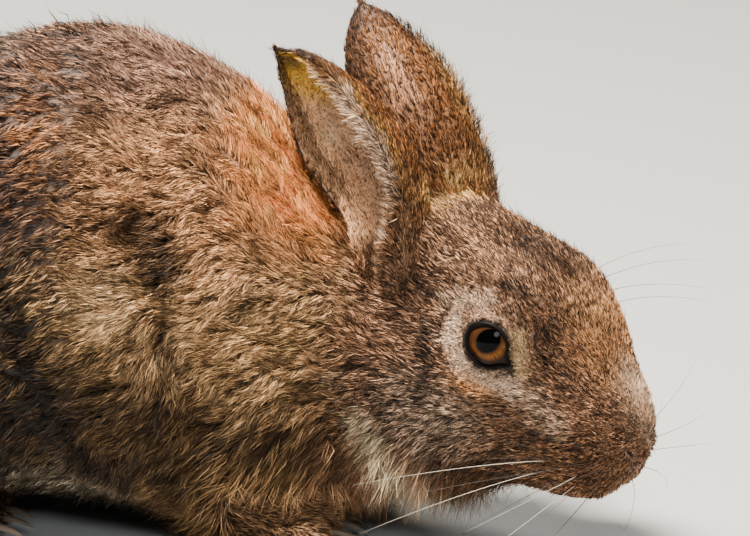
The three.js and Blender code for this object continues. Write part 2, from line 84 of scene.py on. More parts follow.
SKIN_CELL = 1.3 * MM
SEAM_CLOSING = 0.25 * MM
BODY_EVENING = 6.0
HEAD_EVENING = 2.1
EAR_ROOT_EVENING = 1.9
FOOT_EVENING = 1.1
EVENING_ROUNDS = 90
BODY_COAT = 2.8
NECK_COAT = 2.6
FACE_COAT = 1.2
SNOUT_COAT = 0.8
CROWN_COAT = 2.3
FOOT_COAT = 0.9
MUZZLE_SLIMMING = 0.10
BEHIND_ARM = [(-40, 74), (-34, 62), (-30, 52), (-25, 38), (-18, 28), (-6, 20)]
BEFORE_ARM = [(-4, 86), (3, 76), (7, 62), (9, 44), (14, 32)]
CREASE = 2.4
EAR_BASE = np.array([-36, 15, 5])
NECK_BEHIND_EYES = 42.3


def fade(value, low, high):
    """0 below low, 1 above high and a soft step between them."""
    t = np.clip((value - low) / (high - low), 0, 1)
    return t * t * (3 - 2 * t)


def patch(points, centre, radii, soft=0.7):
    """1 in the middle of an egg-shaped area, fading to 0 at its edge."""
    reach = np.linalg.norm((points - np.array(centre)) / np.array(radii), axis=1)
    return 1 - fade(reach, 1 - soft, 1)


def head_share(points):
    """1 on the head and 0 on the body, with a soft change where the neck meets the skull."""
    ahead = (points - HEAD_MIDDLE) @ unit(np.array([0.985, -0.17, 0])) + NECK_BEHIND_EYES
    return fade(ahead, -14, 6)


def foot_share(points):
    """1 on the four feet and 0 elsewhere."""
    share = np.zeros(len(points))
    for name in ("forefoot_left", "forefoot_right", "hind_foot_left", "hind_foot_right"):
        low, high = (np.array(corner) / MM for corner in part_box(name))
        beyond = np.maximum(low - points, points - high).max(axis=1)
        share = np.maximum(share, 1 - fade(beyond, -2.5, 2.5))
    return share * (1 - fade(points[:, 2], 15, 20))


def summed(ends, values, count):
    """Adds up the rows of values that share an end."""
    return np.stack([np.bincount(ends, values[:, k], count) for k in range(3)], axis=1)


def even_out(points, edges, strength, rounds):
    """Slides every point towards the middle of its neighbours, again and again."""
    ends = np.concatenate([edges[:, 0], edges[:, 1]])
    others = np.concatenate([edges[:, 1], edges[:, 0]])
    degree = np.maximum(np.bincount(ends, minlength=len(points)), 1)[:, None]
    for _ in range(rounds):
        total = summed(ends, points[others], len(points))
        points = points + strength[:, None] * (total / degree - points)
    return points


def read_rows(items, key, width, kind=float):
    """One value of every item of a mesh, each as a row of its numbers."""
    flat = np.empty(len(items) * width, kind)
    items.foreach_get(key, flat)
    return flat.reshape(-1, width)


def read_points(mesh):
    return read_rows(mesh.vertices, "co", 3) / MM


def write_points(mesh, points):
    mesh.vertices.foreach_set("co", (points * MM).ravel())
    mesh.update()


def read_edges(mesh):
    return read_rows(mesh.edges, "vertices", 2, int)


def read_triangles(mesh):
    mesh.calc_loop_triangles()
    return read_rows(mesh.loop_triangles, "vertices", 3, int)


def normals_of(points, triangles):
    a, b, c = (points[triangles[:, k]] for k in range(3))
    face = np.cross(b - a, c - a)
    return unit(summed(triangles.ravel(), np.repeat(face, 3, axis=0), len(points)))


def stripe(points, stops, widths, soft=0.7):
    """1 along a bent line of stops, fading to 0 at its half width to either side."""
    best = np.zeros(len(points))
    stops = np.array(stops, float)
    widths = np.broadcast_to(np.array(widths, float), len(stops))
    for p, q, wide, wide_next in zip(stops, stops[1:], widths, widths[1:]):
        share = np.clip((points - p) @ (q - p) / ((q - p) @ (q - p)), 0, 1)
        reach = np.linalg.norm(points - p - share[:, None] * (q - p), axis=1)
        best = np.maximum(best, 1 - fade(reach / (wide + (wide_next - wide) * share), 1 - soft, 1))
    return best


def mirrored_head(points):
    """Places in the head's axes, both sides folded onto one."""
    place = in_head(points)
    place[:, 1] = np.abs(place[:, 1])
    return place


def put_in_scene(name, data):
    """An object at the origin that shows the data."""
    thing = bpy.data.objects.new(name, data)
    bpy.context.scene.collection.objects.link(thing)
    return thing


flesh_names = sorted(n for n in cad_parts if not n.startswith(("eye_", "claw_", "ear_")))
shell = bmesh.new()
for name in flesh_names + ["eye_left", "eye_right"]:
    shell.from_mesh(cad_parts[name].data)
bmesh.ops.remove_doubles(shell, verts=shell.verts, dist=1e-6)
shell.normal_update()
for vert in shell.verts:
    vert.co += vert.normal * SEAM_CLOSING
shell_mesh = bpy.data.meshes.new("shell")
shell.to_mesh(shell_mesh)
shell.free()
shell_object = put_in_scene("shell", shell_mesh)
run_together = shell_object.modifiers.new("run_together", "REMESH")
run_together.mode = "VOXEL"
run_together.voxel_size = SKIN_CELL
depsgraph = bpy.context.evaluated_depsgraph_get()
skin_mesh = bpy.data.meshes.new_from_object(shell_object.evaluated_get(depsgraph))
skin_mesh.name = "skin"
bpy.data.objects.remove(shell_object)

skin_points = read_points(skin_mesh)
head = head_share(skin_points)
face = mirrored_head(skin_points)
by_ear = patch(face, EAR_BASE, (20, 20, 24), 0.5)
evening = BODY_EVENING + (HEAD_EVENING - BODY_EVENING) * head
evening += (EAR_ROOT_EVENING - evening) * by_ear
evening += (FOOT_EVENING - evening) * foot_share(skin_points)
strength = 0.9 * (evening / BODY_EVENING) ** 2
skin_points = even_out(skin_points, read_edges(skin_mesh), strength, EVENING_ROUNDS)

face = mirrored_head(skin_points)
head = head_share(skin_points)
body_depth = BODY_COAT + (NECK_COAT - BODY_COAT) * fade(skin_points[:, 0], 5, 40)
face_depth = CROWN_COAT + (FACE_COAT - CROWN_COAT) * fade(face[:, 0], -34, -4)
face_depth += (SNOUT_COAT - face_depth) * fade(face[:, 0], 14, 34)
depth = body_depth + (face_depth - body_depth) * head
depth += (FOOT_COAT - depth) * foot_share(skin_points)
skin_normals = normals_of(skin_points, read_triangles(skin_mesh))
skin_points -= skin_normals * depth[:, None]
from_side = skin_points[:, [0, 2]]
crease = np.maximum(stripe(from_side, BEHIND_ARM, 8, 1.0), stripe(from_side, BEFORE_ARM, 7, 1.0))
crease *= fade(np.abs(skin_points[:, 1]), 18, 32) * (1 - head)
skin_points -= skin_normals * (CREASE * crease)[:, None]
slimming = MUZZLE_SLIMMING * fade(face[:, 0], 4, 28) * head
skin_points -= np.outer(in_head(skin_points)[:, 1] * slimming, HEAD_AXES[:, 1])
write_points(skin_mesh, skin_points)

# ---- Eyelids, nostrils and mouth in the skin ----
# The skin is made finer round the eyes and the muzzle. There it rises into two lids that hug the eyeball,
# dips into two slit nostrils with a cleft under them, and folds in along the mouth.

EYE_RADIUS = 8.5
GAZE = unit(np.array([0.168, 0.967, 0.250]))
LID_SHIFT = (-0.12, -1.46)
OPENING = 5.65
CANTHUS_ANGLE = math.radians(-17)
CANTHUS_REACH = 1.4
LID_THICKNESS = 0.75
BALL_SINK = 1.1
EYE_PLACE = np.array([2, EYE_APART + 4, 0])
NOSE_PLACE = np.array([40, 2, -18])
FINE_ROUND_EYE = 12.5
FINE_ROUND_NOSE = 12
FINE_EVENING = 0.6
FINE_ROUNDS = 8
NOSTRIL = [(1.3, -18.2), (2.6, -14.8), (5.0, -13.0)]
NOSTRIL_DEPTH = 1.9
CLEFT = [(0, -17.5), (0, -27)]
CLEFT_DEPTH = 1.5
MOUTH_HEIGHT = -29.2
MOUTH_DEPTH = 1.1
PAD_SWELL = 1.0
WING_SWELL = 0.5


def eye_axes(side):
    """The eyeball's own axes in the head: towards the nose, up, and out through the pupil."""
    gaze = GAZE * np.array([1, side, 1])
    nose = unit(np.array([1, 0, 0]) - gaze * gaze[0])
    up = np.cross(gaze, nose) * side
    return np.stack([nose, -up, gaze] if up[2] < 0 else [nose, up, gaze])


def opening_reach(angle):
    """How far the middle of the lid's rim lies from the pupil's axis, at an angle from the nose."""
    turn = np.angle(np.exp(1j * (angle - CANTHUS_ANGLE)))
    rear = np.angle(np.exp(1j * (angle - CANTHUS_ANGLE - math.pi)))
    round_part = OPENING - 0.25 * np.abs(np.sin(angle)) ** 2
    return round_part + CANTHUS_REACH * np.exp(-(turn / 0.20) ** 2) + 0.5 * np.exp(-(rear / 0.35) ** 2)


def eye_place(points, side):
    """Distance from the eye's middle, share of the way to the rim, and whether the point faces out."""
    place = (in_head(points) - np.array([0, side * EYE_APART, 0])) @ eye_axes(side).T
    distance = np.linalg.norm(place, axis=1)
    on_ball = place / np.maximum(distance, 1e-6)[:, None] * EYE_RADIUS
    across, up = on_ball[:, 0] - LID_SHIFT[0], on_ball[:, 1] - LID_SHIFT[1]
    return distance, np.hypot(across, up) / opening_reach(np.arctan2(up, across)), on_ball[:, 2] > 0


def nose_slits(place):
    """1 in the two nostrils, which rise outwards from the cleft, and 1 in the cleft itself."""
    from_front = place[:, 1:]
    nostril = stripe(from_front, NOSTRIL, 1.35, 0.9) * fade(place[:, 0], 34, 38)
    cleft = stripe(from_front, CLEFT, 1.1, 1.0) * fade(place[:, 0], 32, 37)
    return nostril, cleft


def refine(mesh, wanted, cuts):
    """Cuts up the faces whose middle is in the wanted area."""
    fine = bmesh.new()
    fine.from_mesh(mesh)
    middles = np.array([f.calc_center_median()[:] for f in fine.faces]) / MM
    chosen = wanted(middles)
    fine.faces.ensure_lookup_table()
    edges = {e for index in np.flatnonzero(chosen) for e in fine.faces[index].edges}
    bmesh.ops.subdivide_edges(fine, edges=list(edges), cuts=cuts, use_grid_fill=True)
    bmesh.ops.triangulate(fine, faces=[f for f in fine.faces if len(f.verts) > 4])
    fine.to_mesh(mesh)
    fine.free()


def near_features(points):
    place = mirrored_head(points)
    eye = np.linalg.norm(place - EYE_PLACE, axis=1) < FINE_ROUND_EYE
    nose = np.linalg.norm(place - NOSE_PLACE, axis=1) < FINE_ROUND_NOSE
    return eye | nose


refine(skin_mesh, near_features, 2)
skin_points = read_points(skin_mesh)
place = mirrored_head(skin_points)
fine_area = np.maximum(
    1 - fade(np.linalg.norm(place - EYE_PLACE, axis=1), 10, 14),
    1 - fade(np.linalg.norm(place - NOSE_PLACE, axis=1), 10, 14),
)
skin_points = even_out(skin_points, read_edges(skin_mesh), FINE_EVENING * fine_area, FINE_ROUNDS)
skin_normals = normals_of(skin_points, read_triangles(skin_mesh))

place = mirrored_head(skin_points)
nostril, cleft = nose_slits(place)
mouth_height = MOUTH_HEIGHT + 0.10 * (place[:, 0] - 20)
mouth = 1 - fade(np.abs(place[:, 2] - mouth_height), 0.4, 1.5)
mouth = mouth * fade(place[:, 0], 12, 18) * fade(place[:, 1] + place[:, 0] / 6, 4, 8)
pad = patch(place, (35, 8, -22), (10, 6.5, 7), 0.9)
wing = stripe(place[:, 1:], [(1.0, -14.5), (4.2, -11.5)], 2.4, 1.0) * fade(place[:, 0], 34, 38)
dips = NOSTRIL_DEPTH * nostril + CLEFT_DEPTH * cleft + MOUTH_DEPTH * mouth
skin_points -= skin_normals * dips[:, None]
skin_points += skin_normals * (PAD_SWELL * pad + WING_SWELL * wing)[:, None]

for side in (-1, 1):
    distance, share, outward = eye_place(skin_points, side)
    centre = from_head([0, side * EYE_APART, 0])
    ray = unit(skin_points - centre)
    lid = EYE_RADIUS + LID_THICKNESS * (1 - 0.6 * fade(share, 1.1, 1.9))
    raised = distance + (np.maximum(distance, lid) - distance) * (1 - fade(share, 1.4, 1.9))
    sunk = np.minimum(distance, EYE_RADIUS - BALL_SINK)
    wanted = sunk + (raised - sunk) * fade(share, 0.97, 1.05)
    close = outward & (distance < EYE_RADIUS + 6) & (share < 2.2)
    skin_points = np.where(close[:, None], centre + ray * wanted[:, None], skin_points)
write_points(skin_mesh, skin_points)

# ---- Ears in the skin ----
# Each ear is one thin leaf of skin rolled into a tube at the root and open to a pointed cup above. The leaf
# starts inside the head, so it grows out of the skin with no step.

EAR_LENGTHWAYS = 56
EAR_ROUND = 26
EAR_WALL = 1.0
CANAL_FLOOR = 0.13
EAR_LINE_POINTS = 241
BY_CANAL = 40


def ear_line(side):
    """The middle line of one ear, as points evenly spaced along it."""
    lift, spread, sweep = (8, -6.5, -2.2) if side > 0 else (0, 0, 0)
    stops = np.array([
        (-30, side * 13, -8),
        (-37.5, side * 14.5, 6),
        (-51 + sweep, side * (15.5 + spread * 0.3), 19 + lift * 0.15),
        (-70.5 + sweep, side * (18 + spread * 0.7), 30.5 + lift * 0.6),
        (-88.6, side * (20.5 + spread), 40 + lift),
    ], float)
    stops = np.vstack([2 * stops[0] - stops[1], stops, 2 * stops[-1] - stops[-2]])
    line = []
    for k in range(1, len(stops) - 2):
        p, q, r, s = stops[k - 1:k + 3]
        for t in np.linspace(0, 1, 60, endpoint=k == len(stops) - 3):
            line.append(0.5 * (2 * q + (r - p) * t + (2 * p - 5 * q + 4 * r - s) * t ** 2
                               + (3 * q - p - 3 * r + s) * t ** 3))
    line = np.array(line) + np.array([0.8, 0, 0])
    walked = np.concatenate([[0], np.cumsum(np.linalg.norm(np.diff(line, axis=0), axis=1))])
    even = np.linspace(0, walked[-1], EAR_LINE_POINTS)
    return np.stack([np.interp(even, walked, line[:, k]) for k in range(3)], axis=1)


def along_ear(side, places):
    """How far along an ear's middle line places in the head lie, from 0 at its start to 1 at its tip."""
    line = ear_line(side)
    nearest = [np.argmin(np.linalg.norm(line - spot, axis=1)) for spot in places]
    return np.array(nearest) / (len(line) - 1)


def ear_frame(side, t):
    """An ear's middle, the ways along, out of its opening and across, its half width and how far it wraps."""
    line = ear_line(side)
    at = np.clip(t, 0, 1) * (len(line) - 1)
    steps = np.arange(len(line))
    slope = np.gradient(line, axis=0)
    middle = np.stack([np.interp(at, steps, line[:, k]) for k in range(3)], axis=1)
    along = unit(np.stack([np.interp(at, steps, slope[:, k]) for k in range(3)], axis=1))
    opening = np.array([-0.42, side * 0.91, 0])
    opening = unit(opening - along * (along @ opening)[:, None])
    half = (8.6 + 5.2 * fade(t, 0.05, 0.5)) * np.sqrt(1 - fade(t, 0.55, 1.04) ** 1.35) + 1.2
    wrap = 2.75 - 1.05 * fade(t, 0.05, 0.42) - 0.4 * fade(t, 0.6, 1.0)
    middle = middle + opening * (0.12 * half)[:, None]
    return middle, along, opening, np.cross(along, opening) * side, half, wrap


def ear_leaf(side, t, v):
    """Points of an ear, t from root to tip and v from the front lip (-1) to the rear lip (1)."""
    middle, _, opening, sideways, half, wrap = ear_frame(side, t)
    radius = (half - 0.9) * np.sqrt(fade(1.004 - t, 0, 0.09)) * (0.5 + 0.5 * fade(t, -0.02, 0.16))
    place = middle - opening * (radius * 1.03 * np.cos(v * wrap))[:, None]
    return from_head(place + sideways * (radius * np.sin(v * wrap))[:, None])


def ear_place(points, normals):
    """The inverse: t and v of points on the ears, and 1 where they face outwards."""
    place = in_head(points)
    facing = normals @ HEAD_AXES
    t, v, outer = np.zeros((3, len(points)))
    for side in (-1, 1):
        mine = place[:, 1] * side > 0
        t[mine] = along_ear(side, place[mine])
        middle, _, opening, sideways, _, wrap = ear_frame(side, t[mine])
        away = place[mine] - middle
        v[mine] = np.arctan2((away * sideways).sum(1), -(away * opening).sum(1)) / wrap
        outer[mine] = (away * facing[mine]).sum(1) > 0
    return t, v, outer


def ear_canal(points):
    """How far points lie inside either ear's tube, 0 to 1, and the way down to its floor."""
    place = in_head(points)
    inside, down = np.zeros(len(points)), np.zeros((len(points), 3))
    for side in (-1, 1):
        line = ear_line(side)
        mine = np.flatnonzero(np.linalg.norm(place - line[BY_CANAL], axis=1) < 40)
        t = along_ear(side, place[mine])
        middle, along, _, _, half, _ = ear_frame(side, t)
        share = 1 - fade(np.linalg.norm(place[mine] - middle, axis=1) / (half - 0.9), 0.78, 0.98)
        share *= fade(t, CANAL_FLOOR, CANAL_FLOOR + 0.03)
        inside[mine] = share
        drop = np.maximum(0, t - CANAL_FLOOR) * np.linalg.norm(np.diff(line, axis=0), axis=1).sum()
        down[mine] = -(along * (share * drop)[:, None]) @ HEAD_AXES.T
    return inside, down


skin_points = read_points(skin_mesh)
skin_points += ear_canal(skin_points)[1]
write_points(skin_mesh, skin_points)

skin_build = bmesh.new()
skin_build.from_mesh(skin_mesh)
ear_mark = skin_build.faces.layers.int.new("ear")
for side in (-1, 1):
    before = set(skin_build.verts)
    bmesh.ops.create_grid(skin_build, x_segments=EAR_LENGTHWAYS, y_segments=EAR_ROUND, size=1)
    leaf = [vert for vert in skin_build.verts if vert not in before]
    fold_shade_and_highlight = np.array([vert.co[:2] for vert in leaf])
    placed = ear_leaf(side, fold_shade_and_highlight[:, 0] / 2 + 0.5, fold_shade_and_highlight[:, 1]) * MM
    for vert, spot in zip(leaf, placed):
        vert.co = spot
    leaf_set = set(leaf)
    faces = [f for f in skin_build.faces if f.verts[0] in leaf_set]
    if side < 0:
        bmesh.ops.reverse_faces(skin_build, faces=faces)
    skin_build.normal_update()
    bmesh.ops.solidify(skin_build, geom=faces, thickness=EAR_WALL * MM)
    leaf_faces = [f for f in skin_build.faces if f.verts[0] not in before]
    bmesh.ops.recalc_face_normals(skin_build, faces=leaf_faces)
    for f in leaf_faces:
        f[ear_mark] = 1
bmesh.ops.triangulate(skin_build, faces=skin_build.faces)
skin_build.to_mesh(skin_mesh)
skin_build.free()
for polygon in skin_mesh.polygons:
    polygon.use_smooth = True

# ---- Markings ----
# Wild agouti: brown ticked with black on the back and the face, rust on the nape, cream round the eyes and
# under the jaw, pale under the belly and the tail. Painted shade darkens the body, the throat, the jaw and
# the feet towards the ground and lies in the creases round the arm, with a painted highlight on top of the
# arm.
# Skin and coat take their colour from the same places, the same on both sides.

WARM = (0.58, 0.295, 0.14)
LILAC = (0.33, 0.185, 0.125)
UMBER = (0.062, 0.028, 0.015)
# Painted shade low on the body and under the jaw.
UNDER_SHADE = (0.034, 0.019, 0.007)
# Painted highlight on the top of the upper arm.
ARM_HIGHLIGHT = (0.72, 0.46, 0.24)
OCHRE = (0.50, 0.31, 0.14)
BELLY = (0.36, 0.30, 0.22)
SCUT = (0.72, 0.66, 0.56)
SCUT_AREA = ((-126, 0, 60), (16, 17, 38), 0.6)
# The feet's own brown, darkened with painted shade from under the chest.
SHADED_FOOT = (0.145, 0.08, 0.04)
RUST = (0.98, 0.375, 0.118)
DEEP_RUST = (0.46, 0.14, 0.025)
DARK = (0.035, 0.022, 0.014)
FACE = (0.275, 0.143, 0.078)
CHEEK = (0.40, 0.265, 0.18)
CREAM = (0.66, 0.47, 0.33)
STRAW = (0.60, 0.42, 0.21)
BRIDGE = (0.68, 0.34, 0.15)
NOSE = (0.95, 0.66, 0.44)
PAD = (0.165, 0.08, 0.038)
CREST = (0.98, 0.54, 0.19)
THROAT = np.array([0.62, 0.49, 0.31])


def ripple(points, wavelength, seed):
    """A smooth random wave through space, mostly between -1 and 1."""
    waves = np.random.default_rng(seed)
    total = np.zeros(len(points))
    for _ in range(6):
        direction = waves.normal(size=3)
        direction *= 2 * math.pi / (wavelength * waves.uniform(0.7, 1.3) * np.linalg.norm(direction))
        total += np.sin(points @ direction + waves.uniform(0, 2 * math.pi))
    return total / 2.4


def blend(colour, other, share):
    return colour + (np.array(other) - colour) * np.clip(share, 0, 1)[:, None]


def blend_in_turn(colour, layers):
    """Lays colours over one another, each by its own share."""
    for other, share in layers:
        colour = blend(colour, other, share)
    return colour


def body_markings(points):
    x, y, z = points.T
    seen = points[:, [0, 2]]
    rear = (1 - fade(x, -34, -2)) * (0.62 + 0.38 * fade(x, -105, -70))
    nape = patch(np.abs(points), (31, 0, 96), (25, 46, 34), 0.5)
    nape_root = patch(np.abs(points), (44, 22, 80), (14, 22, 18)) * fade(z, 66, 76)
    behind = 1 - fade(x, -4, 22)
    low = 1 - fade(z, 30 + 8 * behind, 60 + 12 * behind)
    belly = (1 - fade(z, 14, 29)) * (1 - fade(np.abs(y), 36, 52)) * (1 - fade(x, -20, 5))
    scut = patch(points, *SCUT_AREA)
    colour = blend_in_turn(np.tile(np.array(WARM), (len(points), 1)), (
        (LILAC, fade(z, 100, 122) * (1 - fade(x, 8, 30))),
        (UMBER, rear * (0.95 - 0.35 * fade(z, 114, 128))),
        (RUST, nape),
        (DEEP_RUST, 0.8 * nape_root),
        (OCHRE, 0.7 * (1 - fade(z, 60, 90)) * fade(x, -50, -20)),
        # Painted shade darkening the body towards the bottom, less so at the rear.
        (UNDER_SHADE, 0.88 * low * (0.3 + 0.7 * fade(x, -74, -38))),
        (BELLY, 0.8 * belly),
        (SCUT, 0.95 * scut),
        (DARK, 0.85 * scut * fade(z + 0.6 * np.abs(y), 66, 80)),
    ))
    tip = (0.4 + 0.3 * rear) * (1 - 0.95 * nape) * (1 - scut)
    flanks = np.minimum(1, np.abs(y) / 30)
    # Painted shade along the creases and folds round the arm, the shoulder and the neck, and a painted
    # highlight on top of the arm, on the flanks only.
    fold_shade_and_highlight = (
        (stripe(seen, [(-1, 85), (4, 77)], 11), 0.82, DARK),
        (stripe(seen, BEHIND_ARM, 5.5), 0.85, DARK),
        (patch(points * [1, 0, 1], (-10, 0, 68), (14, 1, 12)), 0.8, ARM_HIGHLIGHT),
        (stripe(seen, [(6, 70), (6.5, 52)], 5.5), 0.4, DARK),
        (stripe(seen, [(-20, 84), (-8, 87)], 4), 0.45, DARK),
        (stripe(seen, [(29, 78), (25, 68)], 4.5), 0.45, DARK),
        (stripe(seen, [(42, 70), (48, 58)], 4), 0.35, DARK),
    )
    for share, most, other in fold_shade_and_highlight:
        colour = blend(colour, other, share * most * flanks)
    throat = stripe(np.abs(points), [(50, 33, 46), (58, 30, 37), (60, 20, 22), (54, 8, 16)], [5, 8, 9, 9])
    # The throat's cream is darkened towards the bottom as painted shade.
    colour = blend(colour, THROAT * (0.12 + 0.88 * fade(z, 20, 38))[:, None], 0.85 * throat)
    tip *= 1 - 0.8 * throat
    # Feet in their own colour darkened with painted shade.
    colour = blend(colour, SHADED_FOOT, foot_share(points))
    colour *= (1 + 0.20 * ripple(points, 11, 3) + 0.16 * ripple(points, 5, 4))[:, None]
    colour = blend(colour, DARK, 0.6 * rear * fade(ripple(points, 9, 6), 0.15, 0.8))
    return colour, tip


UNDER_EYE = [(-10, 0.5), (-9.5, -4), (-4, -8.4), (4.5, -8.6), (12, -8.2)]
UNDER_JAW = [(-24, -36), (-17, -41), (-9, -45), (0, -47)]


def face_markings(points):
    place = mirrored_head(points)
    side_view = place[:, [0, 2]]
    outside = fade(place[:, 1], 9, 14)
    colour = np.tile(np.array(FACE), (len(points), 1))
    tip = np.full(len(points), 0.55)
    colour = blend(colour, CHEEK, patch(place, (-6, 24, -27), (24, 16, 17)))
    colour = blend(colour, BRIDGE, patch(place, (23, 4, 10), (24, 13, 15)))
    colour = blend(colour, DARK, 0.55 * patch(place, (-2, 4, 23), (17, 13, 7)))
    colour = blend(colour, PAD, 0.95 * patch(place, (33, 14, -20), (20, 14, 13.5), 0.5))
    nose_top = patch(place, (36, 0, 1), (17, 8.5, 16), 1.0)
    colour = blend(colour, NOSE, nose_top)
    tip *= 1 - nose_top
    for stops, wide, most, other in (
        ([(-16, -5.5), (-13.5, -11)], 4.8, 0.85, DARK),
        ([(-10.8, -15.5), (-10, -22)], 4.4, 0.75, DARK),
        ([(-20, 6), (-30, 0)], 6.5, 0.4, DARK),
        ([(-2, 15.5), (5, 14.2)], 2.4, 0.7, DARK),
        ([(-21, -26), (-16, -37)], 5.2, 0.55, DARK),
        ([(13, 8), (17, 1)], 5.5, 0.35, DARK),
        ([(-2, -12.5), (5, -12)], 5.0, 0.8, BRIDGE),
        ([(-15, 3.5), (-9.5, 6.8), (-3.5, 9.8)], [3.6, 4.4, 3.4], 0.62, CREAM),
        ([(7, 5), (9.2, 1), (10.8, -3)], 3.4, 0.85, STRAW),
        (UNDER_EYE, [4.0, 5.0, 4.4, 3.6, 5.0], 0.85, CREAM),
        ([(8, -7.4), (16, -8.6), (25, -12)], [5.4, 6.4, 5.4], 0.5, CREAM),
        ([(-6, -37), (4, -37), (13, -28), (21, -18)], 3.8, 0.55, DARK),
    ):
        share = stripe(side_view, stops, wide, 1.0) * outside * most
        colour = blend(colour, other, share)
        tip = tip + ((0.9 if other is DARK else 0.1) - tip) * share
    under = stripe(side_view, UNDER_JAW, [4.5, 6, 7, 6])
    # Painted shade under the jaw.
    colour = blend(colour, UNDER_SHADE, 0.6 * stripe(side_view, [(2, -40), (20, -36)], 7))
    # The cream under the jaw is darkened towards the bottom as painted shade.
    colour = blend(colour, THROAT * (0.3 + 0.7 * fade(points[:, 2], 14, 28))[:, None], 0.85 * under)
    crest = patch(place, (-37, 8, 21), (11, 13, 10))
    colour = blend(colour, CREST, crest)
    tip *= 1 - 0.8 * np.maximum(under, crest)
    colour *= (1 + 0.13 * ripple(points, 7, 7) + 0.08 * ripple(points, 3.5, 8))[:, None]
    return colour, tip


def markings(points, normals=None):
    """The hair's band colour and how dark its tips are, on head and body. Only the ears use normals."""
    head = head_share(points)
    colour, tip = body_markings(points)
    face, face_tip = face_markings(points)
    colour = colour + (face - colour) * head[:, None]
    return np.clip(colour, 0.01, 0.95), np.clip(tip + (face_tip - tip) * head, 0, 1)


EAR_BACK = (0.20, 0.076, 0.022)
EAR_MIDDLE = (0.42, 0.20, 0.105)
EAR_DARK = (0.045, 0.022, 0.01)
EAR_PINK = (0.98, 0.53, 0.27)
EAR_GOLD = (0.27, 0.13, 0.034)
# A painted glow of light through the ear, high in the hollow.
EAR_GLOW = (0.78, 0.42, 0.006)


def ear_markings(points, normals):
    """Brown ticked backs with a dark tip and rims, a bare pink hollow, and a pale fringe on the front lip. A
    glow high in the hollow and the dark down the tube are painted light and shade.
    """
    t, v, outer = ear_place(points, normals)
    count = len(points)
    middle = (1 - fade(np.abs(v + 0.22), 0.04, 0.26)) * fade(t, 0.5, 0.64) * (1 - fade(t, 0.76, 0.88))
    lip = fade(-v, 0.92, 0.98) * (1 - fade(t, 0.66, 0.8)) * fade(t, 0.25, 0.4)
    rear_half = fade(v, -0.08, 0.2) * fade(t, 0.3, 0.6)
    front_rim = fade(-v, 0.55, 0.9) * fade(t, 0.66, 0.84)
    back = blend_in_turn(np.tile(np.array(EAR_BACK), (count, 1)), (
        (EAR_MIDDLE, 0.85 * middle),
        (EAR_GOLD, 0.8 * fade(-v, 0.66, 0.9) * (1 - fade(t, 0.7, 0.85))),
        (CREAM, 0.9 * lip),
        (EAR_DARK, 0.8 * np.maximum(rear_half, front_rim)),
    ))
    from_crease = np.abs(v - 0.05 - 0.3 * (t - 0.5))
    crease = (1 - fade(from_crease, 0.02, 0.09)) * fade(t, 0.25, 0.35) * (1 - fade(t, 0.6, 0.7))
    beside_rim = fade(v, 0.2, 0.4) * (1 - fade(v, 0.45, 0.6)) * (1 - fade(t, 0.72, 0.8))
    # Painted shade down the ear's tube.
    canal_shade = (1 - fade(np.abs(v + 0.25), 0.02, 0.22)) * (1 - fade(t, 0.42, 0.66))
    hollow = blend_in_turn(np.tile(np.array(EAR_PINK), (count, 1)), (
        # Painted glow of light through the ear, high in the hollow.
        (EAR_GLOW, 0.9 * fade(t - 0.2 * v, 0.62, 0.78)),
        (EAR_DARK, 0.85 * fade(v, 0.66, 0.8) * fade(t, 0.3, 0.5)),
        (EAR_BACK, 0.6 * crease),
        (CREAM, 0.5 * beside_rim),
        # Painted shade in the tube and at the ear's root.
        (EAR_DARK, 0.85 * np.maximum(canal_shade, 1 - fade(t, 0.15, 0.3))),
        (CREAM, fade(-v, 0.58, 0.8) * (1 - fade(t, 0.8, 0.92)) * fade(t, 0.1, 0.2)),
    ))
    colour = hollow + (back - hollow) * outer[:, None]
    dark_tip = np.where(outer > 0, fade(t, 0.85, 0.94), fade(t, 0.88, 0.94))
    colour = blend(colour, EAR_DARK, 0.8 * dark_tip)
    at_head = (1 - fade(t + 0.04 * ripple(points, 7, 9), 0.16, 0.46)) * outer
    colour = colour * (1 + 0.14 * ripple(points, 6, 5))[:, None]
    colour = colour + (markings(points)[0] - colour) * at_head[:, None]
    return np.clip(colour, 0.01, 0.95), 0.05 + 0.5 * outer


def shader_node(tree, kind, inputs=None, **settings):
    """Adds one node with its settings. An input is a value or another node's output."""
    made = tree.nodes.new("ShaderNode" + kind)
    for name, value in settings.items():
        setattr(made, name, value)
    for name, value in (inputs or {}).items():
        if isinstance(value, bpy.types.NodeSocket):
            tree.links.new(value, made.inputs[name])
        else:
            made.inputs[name].default_value = value
    return made


def new_material(name, **surface):
    """A material with its own Principled surface. Returns the material, its tree and the surface."""
    material = bpy.data.materials.new(name)
    material.use_nodes = True
    tree = material.node_tree
    bsdf = tree.nodes["Principled BSDF"]
    for socket, value in surface.items():
        bsdf.inputs[socket.replace("_", " ")].default_value = value
    return material, tree, bsdf


def object_noise(tree, scale, detail):
    """A fine grain fixed to the object's own coordinates."""
    where = shader_node(tree, "TexCoord")
    inputs = {"Vector": where.outputs["Object"], "Scale": scale, "Detail": detail}
    return shader_node(tree, "TexNoise", inputs).outputs["Fac"]


def raise_relief(tree, surface, height, strength, distance):
    relief = shader_node(tree, "Bump", {"Height": height, "Strength": strength, "Distance": distance})
    tree.links.new(relief.outputs["Normal"], surface.inputs["Normal"])


def ramp(tree, value, low, high, most=1.0, step="SMOOTHSTEP"):
    """0 below low and most above high, softly stepped unless step says LINEAR."""
    made = shader_node(tree, "MapRange", {"Value": value, "From Min": low, "From Max": high, "To Max": most},
                       interpolation_type=step)
    return made.outputs["Result"]


HAIR_ROOT = (0.13, 0.11, 0.11, 1)
HAIR_TIP = (0.018, 0.013, 0.010, 1)

